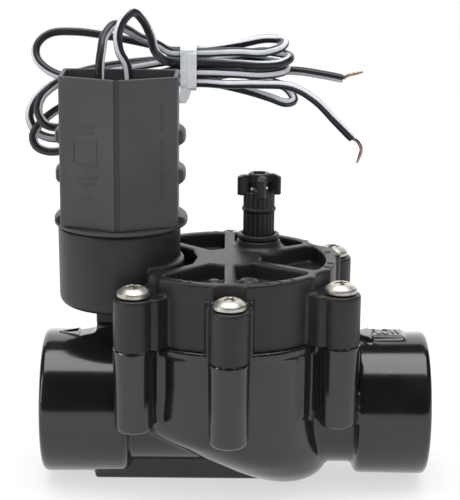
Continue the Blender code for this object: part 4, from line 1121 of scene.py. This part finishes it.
    def word(self) -> Piece:
        """The word FLOW, raised on the inlet's arrow."""
        Bench.clear()
        bpy.ops.object.text_add()
        letters = bpy.context.object
        letters.data.body = "FLOW"
        letters.data.align_x = letters.data.align_y = "CENTER"
        letters.data.extrude = 0.1
        bpy.ops.object.convert(target="MESH")
        letters = bpy.context.object
        wide, deep = letters.dimensions.x, letters.dimensions.y
        fit = Matrix.Diagonal((8.6 * MM / wide, 4.6 * MM / deep, 0.28 * MM / 0.2, 1.0))
        letters.data.transform(Matrix.Translation(Vector((45.4, 0.0, self.plate_top + 0.08)) * MM) @ fit)
        return Bench.outward(letters, 0.001)

    def build(self, finishes: Finishes) -> None:
        """Model and dress the lower body and its flow marks."""
        hand_in(self.shell(), "body_moulding", finishes.body, Body.FIXED, ["valve_body"])
        marks = Bench.merged(self.outlet_point(), self.word())
        hand_in(marks, "flow_marks", finishes.body, Body.FIXED)


# ---------------------------------------------------------------- bonnet


@dataclass
class Bonnet:
    """The satin bonnet with its rim, ribs, bosses and the solenoid's bowl."""

    low: float = 46.8
    rim: float = 30.4
    rim_width: float = 2.9
    top: float = 65.7
    deck: float = 60.7
    room: float = 57.5
    boss_top: float = 60.9
    left: float = -22.5
    rib: float = 2.9
    hub: float = 9.2
    bowl: float = 17.4
    bowl_set_out: float = 0.5
    ear: float = 0.24
    plan_steps: int = 112
    bump_places: tuple[Ring, ...] = (
        (-4.2, -20.8, 2.5, 4.1), (5.2, -20.6, 3.2, 4.3), (22.5, -4.5, 2.2, 2.4), (-12.0, 20.5, 2.2, 1.8))
    body: LowerBody = field(default_factory=LowerBody)

    def plan(self, radius: float) -> Outline:
        """The bonnet's round, cut off by a flat beside the bowl."""
        half = math.sqrt(radius * radius - self.left * self.left)
        start = math.atan2(-half, self.left)
        angles = (start - 2 * start * step / self.plan_steps for step in range(self.plan_steps + 1))
        return [(radius * math.cos(angle), radius * math.sin(angle)) for angle in angles]

    def pocket(self, first: float, last: float) -> Piece:
        """Cutter for one recess between two ribs, given their angles."""
        outer, inner = self.rim - self.rim_width, self.hub
        side_out = math.degrees(math.asin((self.rib / 2 + 0.1) / outer))
        side_in = math.degrees(math.asin((self.rib / 2 + 0.1) / inner))
        points: list[Corner] = []
        steps = 18
        for step in range(steps + 1):
            spot = heading(first + side_out + (last - first - 2 * side_out) * step / steps) * outer
            points.append((*spot, 1.4 if step in (0, steps) else 0.0))
        steps = 6
        for step in range(steps + 1):
            angle = last - side_in - (last - first - 2 * side_in) * step / steps
            points.append(tuple(heading(angle) * inner))
        return Bench.prism(rounded(points, 6), self.deck, self.top + 1.0)

    def outside(self) -> Piece:
        """Join everything that makes the outside."""
        blank = Bench.prism(self.plan(self.rim), self.low - 1.5, self.top)
        for _, spoke in self.body.bolts():
            if spoke.x > -0.5:
                cheek = spoke_strip(spoke, 26.0, 30.95, 9.8, 0.5)
                Bench.add(blank, Bench.prism(cheek, self.boss_top - 0.5, self.top))
        ear = spoke_strip(Vector((math.cos(self.ear), math.sin(self.ear))), 27.0, 32.1, 10.5, 2.0)
        Bench.add(blank, Bench.prism(ear, self.room, self.top))
        for centre, _ in self.body.bolts():
            driver = Bench.rod(7.2, self.boss_top - 1.0, self.top + 1.0, *centre, sides=64)
            Bench.cut(blank, driver)
        boss_low, boss = self.low - 1.9, 5.6
        boss_profile = [(0.0, boss_low), (boss, boss_low), (boss, self.boss_top, 0.6), (0.0, self.boss_top)]
        for centre, spoke in self.body.bolts():
            pad = spoke_strip(spoke, self.rim - 3.8, 34.6, 13.2, 1.2)
            Bench.add(blank, Bench.prism(pad, self.low - 1.7, self.boss_top),
                      Bench.knob(boss_profile, *centre, steps=48))
        floor, brim = 52.5, 75.4
        bowl_profile = [(0.0, floor), (self.bowl - 0.2, floor, 2.4), (self.bowl, brim, 0.4), (0.0, brim)]
        bowl = Bench.knob(bowl_profile, SOLENOID_X - self.bowl_set_out, steps=112, runs=8)
        bridge = Bench.block((SOLENOID_X, -15.1, 54.5), (self.left + 4.0, 15.1, self.top - 0.6))
        stub = Bench.block((-38.2, -2.7, self.low - 1.2), (self.left + 2.0, 2.7, 54.5))
        Bench.add(blank, bowl, bridge, stub)
        trim = Bench.block((-80.0, -80.0, self.low - 4.0), (80.0, 80.0, self.low - 1.0))
        return Bench.cut(blank, trim)

    def bowl_pocket(self) -> Piece:
        """Cutter for the recess between the hub and the bowl."""
        outline = rounded([(-10.6, -7.6, 1.0), (-9.2, 0.0), (-10.6, 7.6, 1.0), (-17.4, 14.4, 1.0),
                           (-21.0, 14.4), (-21.0, -14.4), (-17.4, -14.4, 1.0)])
        cutter = Bench.prism(outline, self.deck - 0.8, self.top + 1.0)
        kept = Bench.rod(self.bowl + 0.6, self.deck - 3.0, self.top + 2.0, SOLENOID_X)
        return Bench.cut(cutter, kept)

    def shell(self) -> Piece:
        """Cut the recesses, add the hub and the bumps in them, and cut the rooms."""
        shell = self.outside()
        ordered = sorted(angle % 360.0 for angle in self.body.bolt_angles)
        for first, last in zip(ordered, [*ordered[1:], ordered[0] + 360.0]):
            if not first < 180.0 < last:
                Bench.cut(shell, self.pocket(first, last))
        Bench.cut(shell, self.bowl_pocket())
        boss = Bench.knob([(0.0, self.deck - 2.0), (8.8, self.deck - 2.0), (8.4, self.top - 1.0, 1.0),
                           (6.5, self.top + 0.9, 1.2), (6.2, 68.1, 0.5), (0.0, 68.1)],
                          *FLOW_CONTROL, steps=64)
        bumps = [Bench.knob([(0.0, self.deck - 1.0), (size, self.deck - 1.0),
                             (size - 0.3, self.deck + height, 1.6), (0.0, self.deck + height)],
                            x, y, steps=48, runs=8)
                 for x, y, size, height in self.bump_places]
        Bench.add(shell, boss, *bumps)
        beside = Bench.block((-31.0, -31.0, self.low - 3.0), (self.left + 3.4, 31.0, self.room + 1.0))
        hollow = Bench.cut(Bench.rod(25.0, self.low - 2.5, self.room, sides=96), beside)
        Bench.cut(shell, hollow, Bench.rod(4.4, self.room - 1.0, self.top - 2.0, sides=32),
                  Bench.rod(27.5, self.low - 2.0, self.low + 1.3, sides=96),
                  Bench.rod(13.1, 59.0, 76.4, SOLENOID_X, sides=96),
                  Bench.rod(EXHAUST_HOLE, self.low - 2.0, 60.0, EXHAUST_X, sides=16),
                  Bench.rod(2.7, self.room - 1.0, 69.7, *FLOW_CONTROL, sides=32),
                  Bench.rod(4.95, self.deck - 0.4, 69.7, *FLOW_CONTROL, sides=48),
                  Bench.rod(4.1, self.deck - 2.0, self.deck + 0.6, *FLOW_CONTROL, sides=32),
                  *self.body.bolt_holes(self.low - 2.0, self.boss_top + 1.0))
        return Bench.levelled(Bench.mould(shell, 0.46, 2), self.body.parting + 0.02)

    def gland(self) -> Piece:
        """Turn the gland ring on the flow boss."""
        profile = rounded([(4.95, 68.3), (6.1, 68.3, 0.15), (6.1, 69.7, 0.5), (4.95, 69.7)], 4)
        ring = Bench.turned(profile, *FLOW_CONTROL, steps=64, closed=True)
        return Bench.shaded(ring, SMOOTH_TURNED)

    def ticks(self) -> Piece:
        """Small plain ticks moulded on top of the rim."""
        bars = []
        for angle in (-118.0, -112.0, -70.0, -62.0, -54.0, -20.0, -12.0, 12.0):
            bar = Bench.block((28.2, -0.35, self.top - 0.3), (29.9, 0.35, self.top + 0.22))
            bar.data.transform(Matrix.Rotation(math.radians(angle), 4, "Z"))
            bars.append(bar)
        return Bench.eased(Bench.merged(*bars), 0.12, 2)

    def build(self, finishes: Finishes) -> None:
        """Model and dress the bonnet, its gland and its ticks."""
        hand_in(self.shell(), "bonnet_moulding", finishes.bonnet, Body.FIXED, ["bonnet"])
        hand_in(self.gland(), "gland_ring", finishes.bonnet, Body.FIXED, ["flow_gland"])
        hand_in(self.ticks(), "rim_ticks", finishes.bonnet, Body.FIXED)


@dataclass
class BonnetScrews:
    """Six pan-head screws with cross recesses, modelled once and copied."""

    seat: float = 61.2
    head: float = 4.5
    height: float = 2.9
    shank: float = 2.4
    reach: float = 27.0
    turns: tuple[float, ...] = (0.62, 0.15, 1.1, 0.4, 0.9, 0.35)
    body: LowerBody = field(default_factory=LowerBody)

    def master(self) -> Piece:
        """Model one screw on the first bolt."""
        x, y = self.body.bolts()[0][0]
        top, tip = self.seat + self.height, self.seat - self.reach
        screw = Bench.knob([(0.0, tip), (self.shank - 0.8, tip), (self.shank, tip + 1.2),
                            (self.shank, self.seat, 0.1), (self.head, self.seat, 0.25),
                            (self.head, self.seat + 1.3, 0.9), (self.head - 1.5, self.seat + 2.5, 2.2),
                            (self.head - 3.0, top - 0.02, 1.0), (0.0, top)], x, y, 64, 6)
        half, arm, floor = 2.1, 0.52, top - 1.7
        cross = [Bench.block((x - half, y - arm, floor), (x + half, y + arm, top + 1.0)),
                 Bench.block((x - arm, y - half, floor), (x + arm, y + half, top + 1.0))]
        well = Bench.turned([(0.0, floor - 0.3), (1.2, floor + 0.1), (1.5, top + 0.5), (0.0, top + 0.5)],
                            x, y, 4)
        Bench.cut(screw, *cross, well)
        return Bench.mould(screw, 0.17, 1, 0.4)

    def build(self, finishes: Finishes) -> None:
        """Copy the screw to every bolt, each turned its own way."""
        master = self.master()
        first = self.body.bolts()[0][0]
        for index, ((centre, _), turn) in enumerate(zip(self.body.bolts(), self.turns), start=1):
            shift = (centre.x - first.x, centre.y - first.y, 0.0)
            screw = Bench.copied(master, shift, turn, (first.x, first.y, 0.0))
            hand_in(screw, f"pan_screw_{index}", finishes.steel, Body.FIXED,
                    [f"bonnet_screw_{index}"])
        bpy.data.objects.remove(master, do_unlink=True)


# ---------------------------------------------------------------- flow control


@dataclass
class FlowControl:
    """The flow control's handle with its fluted grip."""

    x: float = FLOW_CONTROL[0]
    y: float = FLOW_CONTROL[1]
    sleeve: float = 4.6
    low: float = 66.6
    head_low: float = 81.2
    top: float = 87.2
    span: float = 12.7
    arm: float = 2.5
    waist: float = 3.5
    flutes: int = 20

    def grip(self) -> Piece:
        """Fluted sleeve that narrows a little below its collar."""
        outline = []
        for step in range(self.flutes * 6):
            angle = math.tau * step / (self.flutes * 6)
            reach = self.sleeve - 0.45 * (0.5 - 0.5 * math.cos(self.flutes * angle)) ** 1.5
            outline.append((self.x + reach * math.cos(angle), self.y + reach * math.sin(angle)))
        return Bench.prism(outline, self.low, self.head_low + 1.0)

    def head(self) -> Piece:
        """Four-pointed head whose sides are drawn in, with sloping shoulders."""
        half, arm = self.span / 2, self.arm / 2
        corners: list[Corner] = []
        for turn in range(4):
            swing = Matrix.Rotation(math.radians(-90 * turn), 2)
            for px, py, fillet in ((half, -arm, 0.7), (half, arm, 0.7), (self.waist, self.waist, 2.6)):
                spot = swing @ Vector((px, py))
                corners.append((self.x + spot.x, self.y + spot.y, fillet))
        star = Bench.prism(rounded(corners, 8), self.head_low, self.top)
        reach, flat, clear = half + 0.5, self.top + 0.6, self.top + 3.0
        profile = [(0.0, flat), (3.2, flat), (reach, self.top - 1.0), (reach, clear), (0.0, clear)]
        shoulders = Bench.turned(profile, *FLOW_CONTROL, steps=64)
        return Bench.cut(star, shoulders)

    def build(self, finishes: Finishes) -> None:
        """Model and dress the handle."""
        collar = Bench.knob([(0.0, 76.6), (5.0, 76.6, 0.25), (5.0, 77.5, 0.25), (0.0, 77.5)],
                            *FLOW_CONTROL, steps=64)
        crown = Bench.knob([(0.0, self.top - 2.0), (3.9, self.top - 2.0), (3.1, self.top + 0.45, 0.4),
                            (0.0, self.top + 0.45)], *FLOW_CONTROL, steps=8)
        handle = Bench.add(self.grip(), collar, self.head(), crown)
        half = 1.6
        socket = Bench.block((self.x - half, self.y - half, self.top - half),
                             (self.x + half, self.y + half, self.top + 2.0))
        bore = Bench.rod(2.7, self.low - 1.0, self.head_low + 2.0, *FLOW_CONTROL, sides=32)
        Bench.cut(handle, bore, socket)
        Bench.mould(handle, 0.18, 2)
        hand_in(handle, "flow_cross_handle", finishes.bonnet, Body.HANDLE, ["flow_handle"])


# ---------------------------------------------------------------- solenoid


@dataclass
class Solenoid:
    """Coil housing with its pointed shroud, ring flanges, base disc and grommets."""

    x: float = SOLENOID_X
    can: float = 15.9
    can_wall: float = 1.6
    disc: float = 18.9
    ring: float = 18.4
    ring_levels: tuple[float, ...] = (88.0, 99.0)
    ring_height: float = 4.1
    top: float = 119.0
    low: float = 78.8
    hem: float = 76.8
    half: float = 16.4
    front: float = 18.0
    side_front: float = 10.6
    back: float = 4.2
    wall: float = 1.3
    recess: float = 7.6
    cavity_top: float = 101.2

    def outline(self, inset: float = 0.0) -> Outline:
        """Plan of the shroud: a shallow point in front and square behind."""
        side, front = self.half - inset, self.front - inset * 1.1
        corner, back = self.side_front - inset * 0.6, self.back - inset
        corners: list[Corner] = [(0.0, -front, 0.6), (side, -corner, 1.6), (side, back, 0.9),
                                 (-side, back, 0.9), (-side, -corner, 1.6)]
        return [(self.x + px, py) for px, py in rounded(corners, 6)]

    def band(self, low: float) -> Piece:
        """One ring flange, cut off behind the shroud's front."""
        high = low + self.ring_height
        ring = Bench.knob([(0.0, low), (self.ring, low, 1.1), (self.ring, high, 1.1), (0.0, high)],
                          self.x, runs=6)
        front = Bench.block((self.x - 20.0, -20.0, low - 1.0), (self.x + 20.0, -5.0, high + 1.0))
        return Bench.cut(ring, front)

    def housing(self) -> Piece:
        """Can, shroud and rings in one moulding, with the recess on top."""
        floor = self.top - self.recess
        shell = Bench.add(Bench.rod(self.can, self.low, floor + 1.0, self.x, sides=112),
                          Bench.prism(self.outline(), self.hem, self.top),
                          *map(self.band, self.ring_levels))
        Bench.cut(shell, Bench.prism(self.outline(self.wall), floor, self.top + 1.0),
                  Bench.rod(self.can - self.can_wall, self.hem - 1.0, self.cavity_top, self.x, sides=96),
                  *(Bench.rod(1.6, self.cavity_top - 1.0, floor + 1.0, *place, sides=24)
                    for place in LEAD_EXITS))
        Bench.mould(shell, 0.42, 2)
        groove = Bench.block((self.x - 0.7, -self.front - 1.0, self.hem - 1.0),
                             (self.x + 0.7, -self.front + 1.0, self.top + 1.0))
        return Bench.shaded(Bench.cut(shell, groove), SMOOTH_MOULDED)

    def base(self) -> Piece:
        """Disc flange with its nose in the bowl."""
        bore = 5.3
        nose, groove = 12.8, 10.6
        profile = rounded([(bore, 63.6), (nose - 1.0, 63.6), (nose, 64.6), (nose, 66.0), (groove, 66.0),
                           (groove, 68.4), (nose, 68.4), (nose, 75.7), (self.disc, 75.7, 0.7),
                           (self.disc, 78.5, 1.3), (bore, 78.5)], 6)
        disc = Bench.turned(profile, self.x, steps=112, closed=True)
        front = Bench.block((self.x - 20.0, -20.0, self.hem), (self.x + 20.0, -5.0, 80.0))
        return Bench.shaded(Bench.cut(disc, front), SMOOTH_TURNED)

    def marks(self) -> Piece:
        """Plain bars and a frame moulded on the shroud's two front faces."""
        lean = math.atan2(self.front - self.side_front, self.half)
        bars = []

        def place(bar: Piece, side: float) -> None:
            """Lay a bar, made flat about the origin, on the left (-1) or right (1) face."""
            turn = Matrix.Rotation(side * lean, 4, "Z")
            middle = Vector((self.x + side * self.half / 2, -(self.front + self.side_front) / 2, 0.0)) * MM
            bar.data.transform(Matrix.Translation(middle) @ turn)
            bars.append(bar)

        for level, width in ((106.0, 7.6), (104.2, 5.2), (92.0, 8.4), (90.2, 6.0), (86.0, 4.6)):
            place(Bench.block((-width / 2 - 1.0, -0.17, level - 0.35),
                              (width / 2 - 1.0, 0.6, level + 0.35)), -1.0)
        for step in range(3):
            place(Bench.block((4.1, -0.17, 85.5 + step * 9.6), (4.7, 0.6, 92.5 + step * 9.6)), 1.0)
        frame = Bench.cut(Bench.block((-4.6, -0.17, 95.0), (3.0, 0.6, 101.8)),
                          Bench.block((-4.1, -1.0, 95.5), (2.5, 1.0, 101.3)))
        place(frame, -1.0)
        return Bench.eased(Bench.merged(*bars), 0.1, 2)

    def grommet(self, x: float, y: float) -> Piece:
        """Soft collar round a lead."""
        profile = rounded([(1.6, 111.7), (2.6, 111.7, 0.2), (2.2, 113.9, 0.5), (1.6, 113.9, 0.2)], 5)
        return Bench.shaded(Bench.turned(profile, x, y, 40, closed=True), SMOOTH_TURNED)

    def build(self, finishes: Finishes) -> None:
        """Model and dress the solenoid's outside."""
        hand_in(self.housing(), "coil_housing", finishes.shroud, Body.SOLENOID,
                ["solenoid_housing"])
        hand_in(self.base(), "base_disc", finishes.shroud, Body.SOLENOID, ["solenoid_base"])
        hand_in(self.marks(), "moulded_marks", finishes.shroud, Body.SOLENOID)
        for index, (x, y) in enumerate(LEAD_EXITS, start=1):
            hand_in(self.grommet(x, y), f"soft_grommet_{index}", finishes.rubber,
                    Body.SOLENOID, [f"lead_grommet_{index}"])


# ---------------------------------------------------------------- works inside


def dress_works(nodes: dict[str, Piece], finishes: Finishes) -> None:
    """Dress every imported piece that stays."""
    dressed = {
        finishes.steel: ("diaphragm_screw", "diaphragm_spring", "flow_stem", "core_tube", "pole_piece",
                         "flux_bracket", "plunger", "plunger_spring"),
        finishes.rubber: ("diaphragm", "seat_washer", "solenoid_seal", "plunger_seal", "exhaust_seal",
                          "flow_stem_seal"),
        finishes.nylon: ("diaphragm_plate", "seat_guide", "flow_stop", "coil_bobbin", "pilot_seat"),
        finishes.copper: ("coil_winding",),
    }
    for material, names in dressed.items():
        dress_nodes(nodes, names, material)


# ---------------------------------------------------------------- studio


@dataclass(frozen=True)
class Softbox:
    """One area light."""

    name: str
    place: Point
    aim: Point
    size: tuple[float, float]
    power: float


@dataclass
class Studio:
    """Camera, paper floor and soft lights."""

    eye: Point = (-1.316, -458.17, 189.763)
    right: Point = (0.99996, -0.00049, 0.00927)
    up: Point = (-0.00884, 0.25757, 0.96622)
    back: Point = (-0.00286, -0.96626, 0.25756)
    lens: float = 119.3
    paper: float = 3.0
    backdrop: float = 1.9
    sky: float = 1.85
    lights: tuple[Softbox, ...] = (
        Softbox("overhead", (0.0, -0.11, 1.05), (0.0, -0.11, 0.0), (1.2, 0.72), 12.0),
        Softbox("left_strip", (-0.95, -0.35, 0.40), (0.0, 0.0, 0.06), (0.16, 0.7), 2.6),
        Softbox("right_strip", (1.0, -0.30, 0.42), (0.0, 0.0, 0.06), (0.16, 0.7), 0.15),
    )

    def camera(self) -> None:
        """Set up the camera."""
        lens = bpy.data.cameras.new("studio_camera")
        lens.lens = self.lens
        lens.sensor_width = 36.0
        lens.clip_start, lens.clip_end = 0.01, 20.0
        camera = bpy.data.objects.new("studio_camera", lens)
        turn = Matrix((self.right, self.up, self.back)).transposed().to_4x4()
        camera.matrix_world = Matrix.Translation(Vector(self.eye) * MM) @ turn
        bpy.context.scene.collection.objects.link(camera)
        bpy.context.scene.camera = camera

    def floor(self, finishes: Finishes) -> None:
        """Lay the paper, and stand a backdrop far behind."""
        Bench.clear()
        bpy.ops.mesh.primitive_plane_add(size=2 * self.paper, location=(0.0, 0.0, -0.0002))
        floor = Bench.settled()
        floor.name = "studio_paper"
        floor.data.materials.append(finishes.paper)
        Bench.clear()
        bpy.ops.mesh.primitive_plane_add(size=2 * self.backdrop, location=(0.0, self.backdrop, 0.6),
                                         rotation=(math.pi / 2, 0.0, 0.0))
        wall = Bench.settled()
        wall.name = "studio_backdrop"
        wall.data.materials.append(finishes.backdrop)

    def light(self) -> None:
        """Hang the softboxes and set the sky."""
        for box in self.lights:
            data = bpy.data.lights.new(box.name, "AREA")
            data.shape = "RECTANGLE"
            data.size, data.size_y = box.size
            data.energy = box.power
            lamp = bpy.data.objects.new(box.name, data)
            lamp.location = box.place
            lamp.rotation_mode = "QUATERNION"
            lamp.rotation_quaternion = (Vector(box.aim) - Vector(box.place)).to_track_quat("-Z", "Y")
            bpy.context.scene.collection.objects.link(lamp)
        world = bpy.data.worlds.new("studio_sky")
        world.use_nodes = True
        world.node_tree.nodes["Background"].inputs[0].default_value = (0.95, 0.97, 1.0, 1.0)
        world.node_tree.nodes["Background"].inputs[1].default_value = self.sky
        world.cycles_visibility.glossy = False
        bpy.context.scene.world = world
        bpy.context.scene.view_settings.view_transform = "Standard"

    def build(self, finishes: Finishes) -> None:
        """Set up camera, floor and lights."""
        self.camera()
        self.floor(finishes)
        self.light()


# ---------------------------------------------------------------- the whole


def main() -> None:
    """Load the frame and build everything on it."""
    logging.basicConfig(level=logging.INFO, format="%(name)s: %(message)s", stream=sys.stdout)
    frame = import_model()
    Bench.clear()
    finishes = Finishes()
    for assembly in (Studio, LeadPair, LowerBody, Bonnet, BonnetScrews, FlowControl, Solenoid):
        assembly().build(finishes)
    dress_works(frame["nodes"], finishes)
    Bench.clear()


if __name__ == "__main__":
    main()
